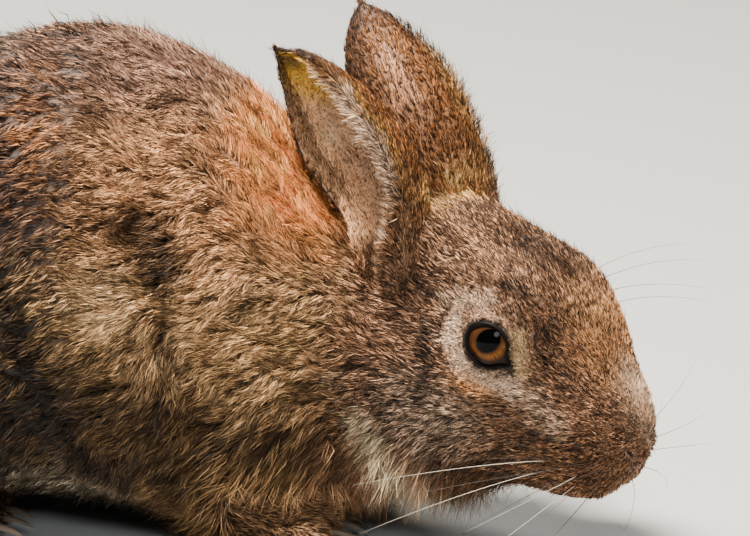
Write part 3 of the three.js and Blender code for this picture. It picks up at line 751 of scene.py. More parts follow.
agouti = bpy.data.node_groups.new("agouti_banding", "ShaderNodeTree")
for name, kind in (("Band", "Color"), ("Tip Darkness", "Float"), ("Along", "Float")):
    agouti.interface.new_socket(name, in_out="INPUT", socket_type="NodeSocket" + kind)
agouti.interface.new_socket("Colour", in_out="OUTPUT", socket_type="NodeSocketColor")
entry = agouti.nodes.new("NodeGroupInput")
leaving = agouti.nodes.new("NodeGroupOutput")


def mix_colour(tree, factor, a, b, blend_type="MIX"):
    """Mixes two colours, each a value or an output."""
    made = tree.nodes.new("ShaderNodeMix")
    made.data_type = "RGBA"
    made.blend_type = blend_type
    for socket, value in ((made.inputs[0], factor), (made.inputs[6], a), (made.inputs[7], b)):
        if isinstance(value, bpy.types.NodeSocket):
            tree.links.new(value, socket)
        else:
            socket.default_value = value
    return made.outputs[2]


undercoat = mix_colour(agouti, 1.0, entry.outputs["Band"], HAIR_ROOT, "MULTIPLY")
above_root = ramp(agouti, entry.outputs["Along"], 0.22, 0.62)
banded = mix_colour(agouti, above_root, undercoat, entry.outputs["Band"])
near_tip = ramp(agouti, entry.outputs["Along"], 0.74, 0.96)
darkening = shader_node(agouti, "Math", {0: near_tip, 1: entry.outputs["Tip Darkness"]}, operation="MULTIPLY")
tipped = mix_colour(agouti, darkening.outputs["Value"], banded, HAIR_TIP)
agouti.links.new(tipped, leaving.inputs["Colour"])


def put_banding(tree, band, tip, along):
    made = tree.nodes.new("ShaderNodeGroup")
    made.node_tree = agouti
    for name, value in (("Band", band), ("Tip Darkness", tip), ("Along", along)):
        tree.links.new(value, made.inputs[name])
    return made.outputs["Colour"]


skin_material, tree, surface = new_material("rabbit_skin", Roughness=0.72)
tint = shader_node(tree, "Attribute", attribute_name="tint")
grain = object_noise(tree, 1400.0, 3.0)
skin_colour = put_banding(tree, tint.outputs["Color"], tint.outputs["Alpha"], grain)
tree.links.new(skin_colour, surface.inputs["Base Color"])
raise_relief(tree, surface, grain, 0.35, 0.0004)

SKIN_SHADE = 0.42
HEAD_SHADE = 0.2
NOSE_SHADE = 0.2
EAR_SHADE = 0.8
BARE_LID = (0.02, 0.014, 0.011)
NOSTRIL_RIM = (0.34, 0.17, 0.13)
# Painted shade inside the nostrils and the cleft.
NOSTRIL_HOLE = (0.03, 0.012, 0.010)
CLEFT_FLOOR = (0.07, 0.03, 0.022)

skin_points = read_points(skin_mesh)
skin_colour, skin_tip = markings(skin_points)
place = mirrored_head(skin_points)
for side in (-1, 1):
    distance, share, outward = eye_place(skin_points, side)
    rim = outward * (distance < EYE_RADIUS + 3) * (1 - fade(share, 1.10, 1.20))
    skin_colour = blend(skin_colour, BARE_LID, rim)
nostril, cleft = nose_slits(place)
skin_colour = blend(skin_colour, NOSTRIL_RIM, fade(nostril, 0.02, 0.2))
# The nostrils' insides and the cleft are painted dark as shade in the slits.
skin_colour = blend(skin_colour, NOSTRIL_HOLE, fade(nostril, 0.45, 0.8))
skin_colour = blend(skin_colour, CLEFT_FLOOR, cleft)
skin_faces = read_triangles(skin_mesh)
ear_faces = read_rows(skin_mesh.attributes["ear"].data, "value", 1, int)[:, 0] > 0
ear_points = np.unique(skin_faces[ear_faces])
normals = normals_of(skin_points, skin_faces)[ear_points]
skin_colour[ear_points], skin_tip[ear_points] = ear_markings(skin_points[ear_points], normals)
# The skin is darkened under the coat as painted shade, less on the head, the nose and the ears.
shade = SKIN_SHADE + HEAD_SHADE * head_share(skin_points) + NOSE_SHADE * (place[:, 0] > 34)
shade[ear_points] = EAR_SHADE
skin_tint = np.concatenate([skin_colour * shade[:, None], skin_tip[:, None]], axis=1)
layer = skin_mesh.attributes.new("tint", "FLOAT_COLOR", "POINT")
layer.data.foreach_set("color", skin_tint.astype(np.float32).ravel())
skin_mesh.materials.clear()
skin_mesh.materials.append(skin_material)
skin = put_in_scene("skin", skin_mesh)
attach(skin, "root")
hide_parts(*flesh_names, "ear_left", "ear_right")

# ---- Eyes ----
# A glossy round eyeball, brown-amber round a large upright pupil, its upper part darkened by painted brow
# shade, set in a thick black rim of wet bare lid that comes to a point at the front corner.

PUPIL = (2.9, 3.55)
PUPIL_TILT = math.radians(27)
UPPER_LID = math.radians(140)
IRIS_RADIUS = 5.7
IRIS_EDGE_WIDTH = 1.7
RIM_RADIUS = 0.52
RIM_STEPS = 72
IRIS_DEEP = (0.05, 0.018, 0.005, 1)
IRIS_BRIGHT = (0.25, 0.095, 0.022, 1)
IRIS_BLOTCH = (0.16, 0.055, 0.010, 1)
IRIS_INNER = (0.03, 0.012, 0.004, 1)
IRIS_EDGE = (0.012, 0.006, 0.004, 1)
BROW_SHADE = (0.02, 0.008, 0.004, 1)
PUPIL_BLACK = (0.0005, 0.0005, 0.0006, 1)
LID_BLACK = (0.003, 0.0024, 0.0022, 1)


def vector_math(tree, operation, inputs, result="Vector"):
    return shader_node(tree, "VectorMath", inputs, operation=operation).outputs[result]


def eye_matrix(side):
    """Places the eyeball's own axes in the frame, in metres."""
    axes = eye_axes(side) @ HEAD_AXES.T
    centre = from_head([0, side * EYE_APART, 0]) * MM
    matrix = Matrix.Identity(4)
    for k in range(3):
        for row in range(3):
            matrix[row][k] = axes[k][row]
        matrix[k][3] = centre[k]
    return matrix


def finish_piece(name, build, material, smooth=True):
    mesh = bpy.data.meshes.new(name)
    build.to_mesh(mesh)
    build.free()
    if smooth:
        for polygon in mesh.polygons:
            polygon.use_smooth = True
    mesh.materials.append(material)
    piece = put_in_scene(name, mesh)
    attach(piece, "root")
    return piece


lid_material, tree, surface = new_material("wet_black_lid", Roughness=0.5, Specular_IOR_Level=0.05,
                                           Base_Color=LID_BLACK)
raise_relief(tree, surface, object_noise(tree, 900.0, 2.0), 0.25, 0.0002)

for side in (-1, 1):
    name = "left" if side > 0 else "right"
    matrix = eye_matrix(side)
    eye_material, tree, surface = new_material(f"eye_{name}", Roughness=0.04, Specular_IOR_Level=0.04,
                                               Coat_Weight=0.05, Coat_Roughness=0.02)
    where = shader_node(tree, "TexCoord")
    turned = matrix.to_3x3()
    if turned.determinant() < 0:
        turned.col[0] = -turned.col[0]
    in_eye = shader_node(tree, "Mapping", {
        "Vector": where.outputs["Object"],
        "Location": matrix.translation,
        "Rotation": turned.to_euler(),
        "Scale": (MM, MM, MM),
    }, vector_type="TEXTURE")
    in_eye = in_eye.outputs["Vector"]
    flat = vector_math(tree, "MULTIPLY", {0: in_eye, 1: (1, 1, 0)})
    radius = vector_math(tree, "LENGTH", {0: flat}, "Value")
    pupil_place = shader_node(tree, "Mapping", {
        "Vector": flat,
        "Rotation": (0, 0, PUPIL_TILT * (1 if side > 0 else -1)),
        "Scale": (PUPIL[0], PUPIL[1], 1),
    }, vector_type="TEXTURE")
    pupil_reach = vector_math(tree, "LENGTH", {0: pupil_place.outputs["Vector"]}, "Value")
    spokes = vector_math(tree, "NORMALIZE", {0: flat})
    spokes = vector_math(tree, "SCALE", {0: spokes, "Scale": 9.0})
    fibres = shader_node(tree, "TexNoise", {"Vector": spokes, "Scale": 1.6, "Detail": 4.0})
    blotch = shader_node(tree, "TexNoise", {"Vector": in_eye, "Scale": 0.9, "Detail": 3.0})
    height = vector_math(tree, "DOT_PRODUCT", {0: in_eye, 1: (0.53 * side, 0.85, 0)}, "Value")
    streaks = ramp(tree, fibres.outputs["Fac"], 0.35, 0.65, step="LINEAR")
    colour = mix_colour(tree, streaks, IRIS_DEEP, IRIS_BRIGHT)
    blotches = ramp(tree, blotch.outputs["Fac"], 0.3, 0.7, step="LINEAR")
    colour = mix_colour(tree, blotches, colour, IRIS_BLOTCH)
    past_pupil = ramp(tree, pupil_reach, 0.96, 1.4)
    colour = mix_colour(tree, past_pupil, IRIS_INNER, colour)
    edge = ramp(tree, radius, IRIS_RADIUS - IRIS_EDGE_WIDTH, IRIS_RADIUS)
    colour = mix_colour(tree, edge, colour, IRIS_EDGE)
    # Painted shade of the brow and lid over the upper part of the iris.
    shaded = ramp(tree, height, -3.4, 1.0, 0.92)
    colour = mix_colour(tree, shaded, colour, BROW_SHADE)
    off_pupil = ramp(tree, pupil_reach, 0.96, 1.04, step="LINEAR")
    colour = mix_colour(tree, off_pupil, PUPIL_BLACK, colour)
    tree.links.new(colour, surface.inputs["Base Color"])

    ball = bmesh.new()
    bmesh.ops.create_uvsphere(ball, u_segments=64, v_segments=40, radius=EYE_RADIUS * MM)
    for vert in ball.verts:
        facing = vert.co.normalized().z
        vert.co *= 1 + 0.035 * max(0.0, (facing - 0.78) / 0.22) ** 1.5
    bmesh.ops.transform(ball, matrix=matrix, verts=ball.verts)
    bmesh.ops.recalc_face_normals(ball, faces=ball.faces)
    eyeball = finish_piece(f"eyeball_{name}", ball, eye_material)
    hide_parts(f"eye_{name}")

    rim_line = bpy.data.curves.new(f"lid_line_{name}", "CURVE")
    rim_line.dimensions = "3D"
    rim_line.bevel_depth = RIM_RADIUS * MM
    rim_line.bevel_resolution = 4
    spline = rim_line.splines.new("POLY")
    spline.points.add(RIM_STEPS - 1)
    spline.use_cyclic_u = True
    for k, point in enumerate(spline.points):
        angle = 2 * math.pi * k / RIM_STEPS
        reach = float(opening_reach(np.array(angle)))
        nose = reach * math.cos(angle) + LID_SHIFT[0]
        up = reach * math.sin(angle) + LID_SHIFT[1]
        spot = Vector((nose, up, math.sqrt(EYE_RADIUS ** 2 - nose ** 2 - up ** 2))) * (1.025 * MM)
        point.co = (*(matrix @ spot), 1)
        from_upper = float(np.angle(np.exp(1j * (angle - UPPER_LID))))
        point.radius = 1.0 + 0.55 * math.exp(-(from_upper / 0.8) ** 2)
    line_object = put_in_scene(f"lid_line_{name}", rim_line)
    depsgraph = bpy.context.evaluated_depsgraph_get()
    rim_mesh = bpy.data.meshes.new_from_object(line_object.evaluated_get(depsgraph))
    bpy.data.objects.remove(line_object)
    rim_build = bmesh.new()
    rim_build.from_mesh(rim_mesh)
    bmesh.ops.recalc_face_normals(rim_build, faces=rim_build.faces)
    finish_piece(f"lid_rim_{name}", rim_build, lid_material)

# ---- Coat ----
# Tufts of flat tapering hairs that lie along the body in locks, joined into one mesh for each region. Short
# on the face, the ears and the feet, long and loose on the neck, the trunk and the tail, with stiffer guard
# hairs among them. The map OFBake gives each tuft the place of its root on the skin.

SUNK = 0.3
LOWEST = 0.35
UV_PATCH = 0.003
COLOUR_SHIFT = 0.6
GUARD_LENGTH = 1.5
GUARD_WIDTH = 0.4
WOOL_WIDTH = 0.5
GUARD_RISE = 1.3
GUARD_STAND = 2.2
TRAITS = ("length", "width", "spread", "rise", "flat", "gather", "lock", "pull", "guard", "guard_shade")

coat_material, tree, surface = new_material("agouti_fur", Roughness=0.62, Specular_IOR_Level=0.1)
tint = shader_node(tree, "Attribute", attribute_name="tint")
along = shader_node(tree, "Attribute", attribute_name="along")
hair_colour = put_banding(tree, tint.outputs["Color"], tint.outputs["Alpha"], along.outputs["Fac"])
tree.links.new(hair_colour, surface.inputs["Base Color"])


def part_of_skin(mesh, name, chosen):
    """A copy of the skin's chosen faces, unwrapped, as corner places, corner normals and corner UV places."""
    piece = bmesh.new()
    piece.from_mesh(mesh)
    piece.faces.ensure_lookup_table()
    unwanted = [piece.faces[k] for k in np.flatnonzero(~chosen)]
    bmesh.ops.delete(piece, geom=unwanted, context="FACES")
    copy = bpy.data.meshes.new(name)
    piece.to_mesh(copy)
    piece.free()
    holder = put_in_scene(name, copy)
    bpy.context.view_layer.objects.active = holder
    holder.select_set(True)
    bpy.ops.object.mode_set(mode="EDIT")
    bpy.ops.mesh.select_all(action="SELECT")
    bpy.ops.uv.smart_project(angle_limit=math.radians(66), island_margin=0.002)
    bpy.ops.object.mode_set(mode="OBJECT")
    corners = read_rows(copy.loops, "vertex_index", 1, int).reshape(-1, 3)
    uv = read_rows(copy.uv_layers.active.data, "uv", 2)
    points = read_points(copy)
    normals = normals_of(points, corners)
    bpy.data.objects.remove(holder)
    bpy.data.meshes.remove(copy)
    return points[corners], normals[corners], uv.reshape(-1, 3, 2)


def scatter(corners, normals, uv, density, count, random):
    """Spreads roots over the faces, more where the density is higher."""
    a, b, c = corners.transpose(1, 0, 2)
    weight = np.linalg.norm(np.cross(b - a, c - a), axis=1) * density
    steps = np.cumsum(weight) / weight.sum()
    picks = np.searchsorted(steps, (np.arange(count) + random.uniform(0, 1, count)) / count)
    picks = np.minimum(picks, len(weight) - 1)
    first, second = random.uniform(0, 1, (2, count))
    swap = first + second > 1
    first, second = np.where(swap, 1 - first, first), np.where(swap, 1 - second, second)
    shares = np.stack([1 - first - second, first, second], axis=1)[:, :, None]
    places, outwards, map_places = ((values[picks] * shares).sum(1) for values in (corners, normals, uv))
    return places, unit(outwards), map_places


def turn(vectors, axes, angle):
    """Turns tangent vectors about the normals they stand square to."""
    return vectors * np.cos(angle)[:, None] + np.cross(axes, vectors) * np.sin(angle)[:, None]


def body_lie(points):
    """The way the hair points over the body, before it is laid on the skin."""
    x, _, z = points.T
    lie = np.tile(np.array([-1.0, 0, -0.28]), (len(points), 1))

    def lean(other, share):
        return lie + (np.array(other, float) - lie) * share[:, None]

    lie = lean((-1, 0, 0.75), patch(points, (34, 0, 92), (36, 60, 40)))
    lie = lean((-0.9, 0, -0.6), (1 - fade(z, 22, 52)) * fade(x, 0, 24))
    lie = lean((-0.7, 0, -0.65), patch(points * [1, 0, 1], (-8, 0, 38), (30, 1, 38)))
    lie = lean((-0.75, 0, -0.6), patch(points * [1, 0, 1], (-80, 0, 40), (46, 1, 44)))
    lie = lean((-0.2, 0, 1), patch(points, (-124, 0, 62), (14, 20, 36), 0.3))
    return lean((1, 0, -0.3), foot_share(points))


def face_lie(points):
    """The way the hair points over the head, away from the nose and parted round the eyes."""
    place = in_head(points)
    side = np.where(place[:, 1] < 0, -1.0, 1.0)
    place[:, 1] = np.abs(place[:, 1])
    away = unit(place - np.array([47, 0, -9]))
    away[:, 2] -= 0.35 * patch(place, (0, 20, -36), (40, 20, 22))
    from_eye = place - np.array([2, EYE_APART + 2, 0])
    distance = np.linalg.norm(from_eye, axis=1)
    away += unit(from_eye) * (1.5 * np.exp(-(distance / 11) ** 2))[:, None]
    to_ear = unit(np.array([-48, 15, 22]) - place)
    away += to_ear * (1.2 * patch(place, (-34, 15, 8), (16, 14, 18)))[:, None]
    away[:, 1] *= side
    return away @ HEAD_AXES.T


def lay(directions, normals):
    """Lays directions on the skin."""
    return unit(directions - normals * (directions * normals).sum(axis=1)[:, None])


def gather_locks(roots, lie, size, area, random):
    """Shares roots out among long locks. Returns each root's lock and the way across to its middle."""
    centres = roots[random.choice(len(roots), max(1, int(area / size ** 2)), replace=False)]
    lock = np.empty(len(roots), int)
    for start in range(0, len(roots), 1000):
        part = slice(start, start + 1000)
        gap = centres[None] - roots[part, None]
        lengthways = (gap * lie[part, None]).sum(axis=2)
        lock[part] = np.argmin((gap ** 2).sum(axis=2) - 0.8 * lengthways ** 2, axis=1)
    across = centres[lock] - roots
    return lock, across - lie * (across * lie).sum(axis=1)[:, None]


def coat_mesh(name, points, tint, along, uv):
    """One mesh of four-cornered hairs, each two triangles: root, two sides of the middle, and tip."""
    total = len(points)
    faces = np.arange(total)[:, None, None] * 4 + np.array([[0, 2, 1], [1, 2, 3]])
    mesh = bpy.data.meshes.new(name)
    mesh.vertices.add(total * 4)
    mesh.vertices.foreach_set("co", (points * MM).ravel())
    mesh.loops.add(total * 6)
    mesh.loops.foreach_set("vertex_index", faces.ravel())
    mesh.polygons.add(total * 2)
    mesh.polygons.foreach_set("loop_start", np.arange(0, total * 6, 3))
    mesh.polygons.foreach_set("use_smooth", np.ones(total * 2, bool))
    mesh.update(calc_edges=True)
    tint_layer = mesh.attributes.new("tint", "FLOAT_COLOR", "POINT")
    tint_layer.data.foreach_set("color", np.repeat(tint, 4, axis=0).astype(np.float32).ravel())
    along_layer = mesh.attributes.new("along", "FLOAT", "POINT")
    along_layer.data.foreach_set("value", along.astype(np.float32).ravel())
    patch_shape = np.array([[-0.5, 0], [0, -0.45], [0, 0.45], [0.5, 0]]) * UV_PATCH
    corner_uv = (uv[:, None, :] + patch_shape).reshape(-1, 2)[faces.ravel()]
    bake_map = mesh.uv_layers.new(name="OFBake")
    bake_map.data.foreach_set("uv", corner_uv.astype(np.float32).ravel())
    mesh.materials.append(coat_material)
    return mesh


def grow_coat(name, skin_part, count, hairs, seed, look):
    """Grows the tufts of one region. look gives each root its hair: see any of the looks below."""
    random = np.random.default_rng(seed)
    corners, corner_normals, corner_uv = skin_part
    density = look(corners.mean(axis=1), unit(corner_normals.mean(axis=1)))["density"]
    two_sides = np.cross(corners[:, 1] - corners[:, 0], corners[:, 2] - corners[:, 0])
    area = np.linalg.norm(two_sides, axis=1).sum() / 2
    roots, normals, uv = scatter(corners, corner_normals, corner_uv, density, count, random)
    hair = look(roots, normals)
    for trait in TRAITS:
        hair[trait] = hair[trait] * np.ones(count)
    colour, dark_tip = hair["paint"](roots + random.normal(0, COLOUR_SHIFT, (count, 3)), normals)
    lie = turn(lay(hair["lie"], normals), normals, hair["swirl"])
    lock, to_middle = gather_locks(roots, lie, hair["lock"].mean(), area, random)
    edge = np.minimum(1, np.linalg.norm(to_middle, axis=1) / (0.5 * hair["lock"]))
    locks = lock.max() + 1
    lie = turn(lie, normals, random.normal(0, 0.14, locks)[lock] + random.normal(0, 0.10, count))
    locked = np.clip(random.normal(1, hair["mottle"], locks), 0.4, 1.6)[lock]
    # Hairs near the edge of a lock are darkened as painted shade in the gaps between locks.
    colour = colour * (locked * (1.08 - hair["parting"] * edge) * random.normal(1, 0.10, count))[:, None]
    lift = random.uniform(0.75, 1.3, locks)[lock] * (1.12 - 0.3 * edge)

    every = np.repeat(np.arange(count), hairs)
    total = len(every)
    n, d = normals[every], lie[every]
    spin = random.uniform(0, 2 * math.pi, total)
    off = np.sqrt(random.uniform(0, 1, total)) * hair["spread"][every]
    offset = d * (np.cos(spin) * off)[:, None] + np.cross(n, d) * (np.sin(spin) * off)[:, None]
    guard = random.uniform(0, 1, total) < hair["guard"][every]
    length = hair["length"][every] * random.uniform(0.6, 1.2, total) * np.where(guard, GUARD_LENGTH, 1)
    width = hair["width"][every] * random.uniform(0.7, 1.3, total) * np.where(guard, GUARD_WIDTH, WOOL_WIDTH)
    d = turn(d, n, random.normal(0, 0.10, total))
    rise = (hair["rise"] * lift)[every] * random.uniform(0.7, 1.35, total) * np.where(guard, GUARD_RISE, 1)
    flat = (hair["flat"] * lift)[every] * random.uniform(0.4, 1.6, total) * np.where(guard, GUARD_STAND, 1)
    base = roots[every] + offset - n * SUNK
    bend = random.uniform(0.42, 0.55, total)
    middle = base + d * (length * bend * np.cos(rise))[:, None] + n * (length * bend * np.sin(rise))[:, None]
    rest = length * (1 - bend)
    tip = middle + d * (rest * np.cos(flat))[:, None] + n * (rest * np.sin(flat))[:, None]
    droop = to_middle[every] * hair["pull"][every][:, None] - offset * hair["gather"][every][:, None]
    middle += droop * 0.35
    tip += droop
    for part in (middle, tip):
        part[:, 2] = np.maximum(part[:, 2], LOWEST)
    stretch = unit(tip - base)
    flat_side = unit(np.cross(stretch, n))
    twist = random.normal(0, 0.6, total)
    side = flat_side * np.cos(twist)[:, None] + np.cross(stretch, flat_side) * np.sin(twist)[:, None]
    side = side * width[:, None]
    points = np.stack([base, middle - side, middle + side, tip], axis=1)

    colour, dark_tip = colour[every], dark_tip[every]
    kind = random.uniform(0, 1, total)
    dark, pale = 0.22 - 0.10 * hair["contrast"], 1.55 + 0.6 * hair["contrast"]
    shade = np.where(kind < 0.10 + 0.62 * dark_tip, dark, np.where(kind > 0.74, pale, 0.9))
    shade = np.where(guard, hair["guard_shade"][every], shade)
    colour = np.maximum(colour * (shade * random.normal(1, 0.12, total))[:, None], 0.006)
    colour *= np.minimum(1, 0.95 / colour.max(axis=1))[:, None]
    dark_tip = np.clip(dark_tip * random.uniform(0.1, 1.9, total), 0, 1)
    tint = np.concatenate([colour, dark_tip[:, None]], axis=1)
    band = 0.5 + random.normal(0, 0.09, total)
    along = np.stack([np.zeros(total), band, band, np.ones(total)], axis=1)
    piece = put_in_scene(name, coat_mesh(name, points, tint, along, uv[every]))
    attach(piece, "root")


def body_look(points, normals):
    """Hair over the neck, trunk, limbs, feet and tail."""
    x, y, z = points.T
    feet = foot_share(points)
    neck = fade(x, 26, 50)
    rear = 1 - fade(x, -34, -14)
    chest = (1 - fade(z, 14, 46)) * fade(x, 0, 26)
    length = 4.9 - 0.4 * fade(z, 80, 110) + 0.9 * rear - 0.3 * neck + 4.2 * chest
    length += (5.5 - length) * patch(points * [1, 0, 1], (-8, 0, 30), (24, 1, 30), 0.6)
    length += (5.0 - length) * (1 - fade(z, 14, 30)) * (1 - fade(x, -20, 10)) * (np.abs(y) > 22)
    length += (2.8 - length) * feet
    scut = patch(points, *SCUT_AREA)
    length += 3.0 * scut
    return {
        "density": 1 + 0.5 * neck + 1.2 * feet,
        "lie": body_lie(points),
        "swirl": 0.30 * ripple(points, 26, 11) + 0.26 * ripple(points, 9, 12),
        "length": length,
        "width": 0.21 - 0.02 * neck - 0.01 * feet + (0.05 + 0.04 * fade(y, -8, 12)) * rear,
        "spread": 1.1 - 0.6 * feet - 0.3 * neck,
        "rise": np.radians(38 + 16 * scut),
        "flat": np.radians(16 + 22 * scut),
        "gather": 0.6,
        "lock": 3.6,
        "pull": 0.6 - 0.45 * feet,
        "mottle": 0.24,
        "parting": 0.3,
        "contrast": 0.0,
        "guard": 0.05 + 0.07 * chest,
        "guard_shade": 0.2 + 2.0 * chest,
        "paint": markings,
    }


LASH = (0.012, 0.009, 0.007)


def face_paint(points, normals):
    """The face's markings, with black lashes round the lids."""
    colour, tip = markings(points)
    for side in (-1, 1):
        distance, share, outward = eye_place(points, side)
        lash = 0.9 * outward * (distance < EYE_RADIUS + 3) * (1 - fade(share, 1.06, 1.26))
        colour = blend(colour, LASH, lash)
    return colour, tip


def face_look(points, normals):
    """Hair over the head."""
    count = len(points)
    place = mirrored_head(points)
    length = 4.6 - 1.9 * fade(place[:, 0], -34, -8)
    length += (3.4 - length) * patch(place, (-14, 20, -30), (26, 18, 20))
    length -= 0.9 * fade(place[:, 0], 16, 36)
    hanging = patch(place, (-12, 8, -46), (40, 24, 20), 0.6) * fade(-normals[:, 2], -0.35, 0.4)
    length += (11.0 - length) * hanging
    density = np.ones(count) + 0.5 * fade(place[:, 0], 14, 34)
    guard = 0.03 + 0.09 * patch(place, (-8, 0, 26), (44, 18, 20))
    for side in (-1, 1):
        distance, share, outward = eye_place(points, side)
        near = outward & (distance < EYE_RADIUS + 6)
        density = np.where(near, np.where(share < 1.03, 0, density * (1 + 1.2 * (share < 1.35))), density)
        length = np.where(near, np.minimum(length, 1.0 + 3.0 * fade(share, 1.1, 2.4)), length)
        guard = np.where(near & (share < 1.8), 0, guard)
    nostril, cleft = nose_slits(place)
    density = density * ((nostril < 0.15) & (cleft < 0.4)) * (ear_canal(points)[0] < 0.3)
    return {
        "density": density,
        "lie": face_lie(points) + np.array([-0.5, 0, -1.1]) * hanging[:, None],
        "swirl": 0.16 * ripple(points, 14, 21) + 0.16 * ripple(points, 5, 22),
        "length": length,
        "width": 0.19 - 0.03 * fade(place[:, 0], -30, 0),
        "spread": 0.75 - 0.3 * fade(place[:, 0], -30, 0),
        "rise": np.radians(34 + 14 * hanging),
        "flat": np.radians(14 + 24 * hanging),
        "gather": 0.5,
        "lock": 1.7 - 0.4 * fade(place[:, 0], 0, 20),
        "pull": 0.4,
        "mottle": 0.26,
        "parting": 0.55,
        "contrast": 1.0,
        "guard": guard * (1 - fade(place[:, 0], 10, 30)) + 0.1 * hanging,
        "guard_shade": 0.15 + 0.9 * hanging,
        "paint": face_paint,
    }


def ear_look(points, normals):
    """Hair over the ears: close on their backs, sparse in the hollow, and a fringe along the front lip."""
    count = len(points)
    t, v, outer = ear_place(points, normals)
    lie = np.zeros((count, 3))
    in_front = in_head(points)[:, 1] < 0
    for side in (-1, 1):
        mine = in_front == (side < 0)
        _, along, _, sideways, _, _ = ear_frame(side, t[mine])
        inwards = -sideways * np.sign(v[mine])[:, None] * (1.1 * fade(np.abs(v[mine]), 0.6, 1.0))[:, None]
        lie[mine] = (along + inwards) @ HEAD_AXES.T
    fringe = fade(-v, 0.58, 0.85) * (1 - outer * fade(1 + v, 0.02, 0.10)) * (1 - fade(t, 0.8, 0.95))
    fringe *= fade(t, 0.1, 0.22)
    hollow = (1 - outer) * (1 - fade(np.abs(v), 0.5, 0.8))
    return {
        "density": (1 - 0.55 * hollow + 1.6 * fringe) * (t > 0.03),
        "lie": lie,
        "swirl": 0.16 * ripple(points, 12, 31) + 0.4 * fringe * ripple(points, 2.5, 32),
        "length": 2.9 - 0.5 * fade(t, 0.5, 1.0) - 0.5 * hollow + 2.4 * fringe,
        "width": 0.20 - 0.04 * fringe,
        "spread": 0.6,
        "rise": np.radians(26 + 14 * fringe),
        "flat": np.radians(8 + 16 * fringe),
        "gather": 0.4,
        "lock": 1.6,
        "pull": 0.25,
        "mottle": 0.16,
        "parting": 0.25,
        "contrast": 0.4,
        "guard": 0.04 * outer,
        "guard_shade": 0.15,
        "paint": ear_markings,
    }


triangle_middles = skin_points[skin_faces].mean(axis=1)
head_part = head_share(triangle_middles) > 0.5
place = in_head(triangle_middles)
near_side = place[:, 1] < 0
muzzle_part = place[:, 0] > -3
ahead = triangle_middles[:, 0] > -20
front = triangle_middles[:, 0] > 14
right = triangle_middles[:, 1] < 0

on_head = ~ear_faces & head_part
on_body = ~ear_faces & ~head_part
regions = (
    ("coat_muzzle_right", on_head & near_side & muzzle_part, 12000, 8, face_look),
    ("coat_cheek_right", on_head & near_side & ~muzzle_part, 12000, 8, face_look),
    ("coat_face_left", on_head & ~near_side, 8200, 8, face_look),
    ("coat_ear_right", ear_faces & near_side, 12000, 5, ear_look),
    ("coat_ear_left", ear_faces & ~near_side, 9000, 5, ear_look),
    ("coat_neck_right", on_body & front & right, 11200, 8, body_look),
    ("coat_shoulder_right", on_body & ahead & ~front & right, 11500, 8, body_look),
    ("coat_fore_left", on_body & ahead & ~right, 6800, 8, body_look),
    ("coat_hind_right", on_body & ~ahead & right, 10500, 8, body_look),
    ("coat_hind_left", on_body & ~ahead & ~right, 7700, 8, body_look),
)
for seed, (name, chosen, count, hairs, look) in enumerate(regions):
    grow_coat(name, part_of_skin(skin_mesh, name, chosen), count, hairs, seed + 100, look)

# ---- Whiskers ----
# Long stiff tapering hairs in rows on the pads of the muzzle, black with a few white ones low down, and
# some over each eye. They sweep out and back, the lowest ones down towards the ground.

WHISKER_WIDTH = 0.17
WHISKER_POINT = 0.015
WHISKER_STEPS = 12
WHISKER_ROWS = 4
WHISKER_COLUMNS = 4
BROW_HAIRS = 4
WHISKER_WHITE = (0.50, 0.45, 0.37)
WHISKER_BLACK = (0.03, 0.024, 0.018)

whisker_material, tree, surface = new_material("whisker_hair", Roughness=0.45, Specular_IOR_Level=0.3)
tint = shader_node(tree, "Attribute", attribute_name="tint")
streak = object_noise(tree, 500.0, 2.0)
weathered = mix_colour(tree, streak, tint.outputs["Color"], (0.05, 0.04, 0.03, 1), "MULTIPLY")
whisker_colour = mix_colour(tree, 0.35, tint.outputs["Color"], weathered)
tree.links.new(whisker_colour, surface.inputs["Base Color"])


def whisker(build, tint_layer, root, out, sag, length, colour):
    """Adds one three-sided tapering hair that leaves its root along out and bends by sag."""
    shares = np.linspace(0, 1, WHISKER_STEPS + 1)[:, None]
    fold_shade_and_highlight = root + out * shares * length + sag * shares ** 2 * length
    fold_shade_and_highlight[:, 2] = np.maximum(fold_shade_and_highlight[:, 2], 0.6)
    rings = []
    for spot, share in zip(fold_shade_and_highlight, shares[:, 0]):
        radius = WHISKER_WIDTH / 2 * (1 - share) ** 0.7 + WHISKER_POINT
        around = unit(np.cross(out, np.array([0.1, 0.2, 1.0])))
        beside = unit(np.cross(out, around))
        ring = []
        for k in range(3):
            angle = 2 * math.pi * k / 3
            outwards = around * math.cos(angle) + beside * math.sin(angle)
            vert = build.verts.new((spot + outwards * radius) * MM)
            vert[tint_layer] = (*colour, 1)
            ring.append(vert)
        rings.append(ring)
    for ring, beyond in zip(rings, rings[1:]):
        for k in range(3):
            build.faces.new((ring[k], ring[(k + 1) % 3], beyond[(k + 1) % 3], beyond[k]))
    build.faces.new(rings[0])
    build.faces.new(rings[-1])


def nearest_skin(spot):
    """The skin's point nearest to a place given in the head's axes."""
    return skin_points[np.argmin(np.linalg.norm(skin_points - from_head(spot), axis=1))]


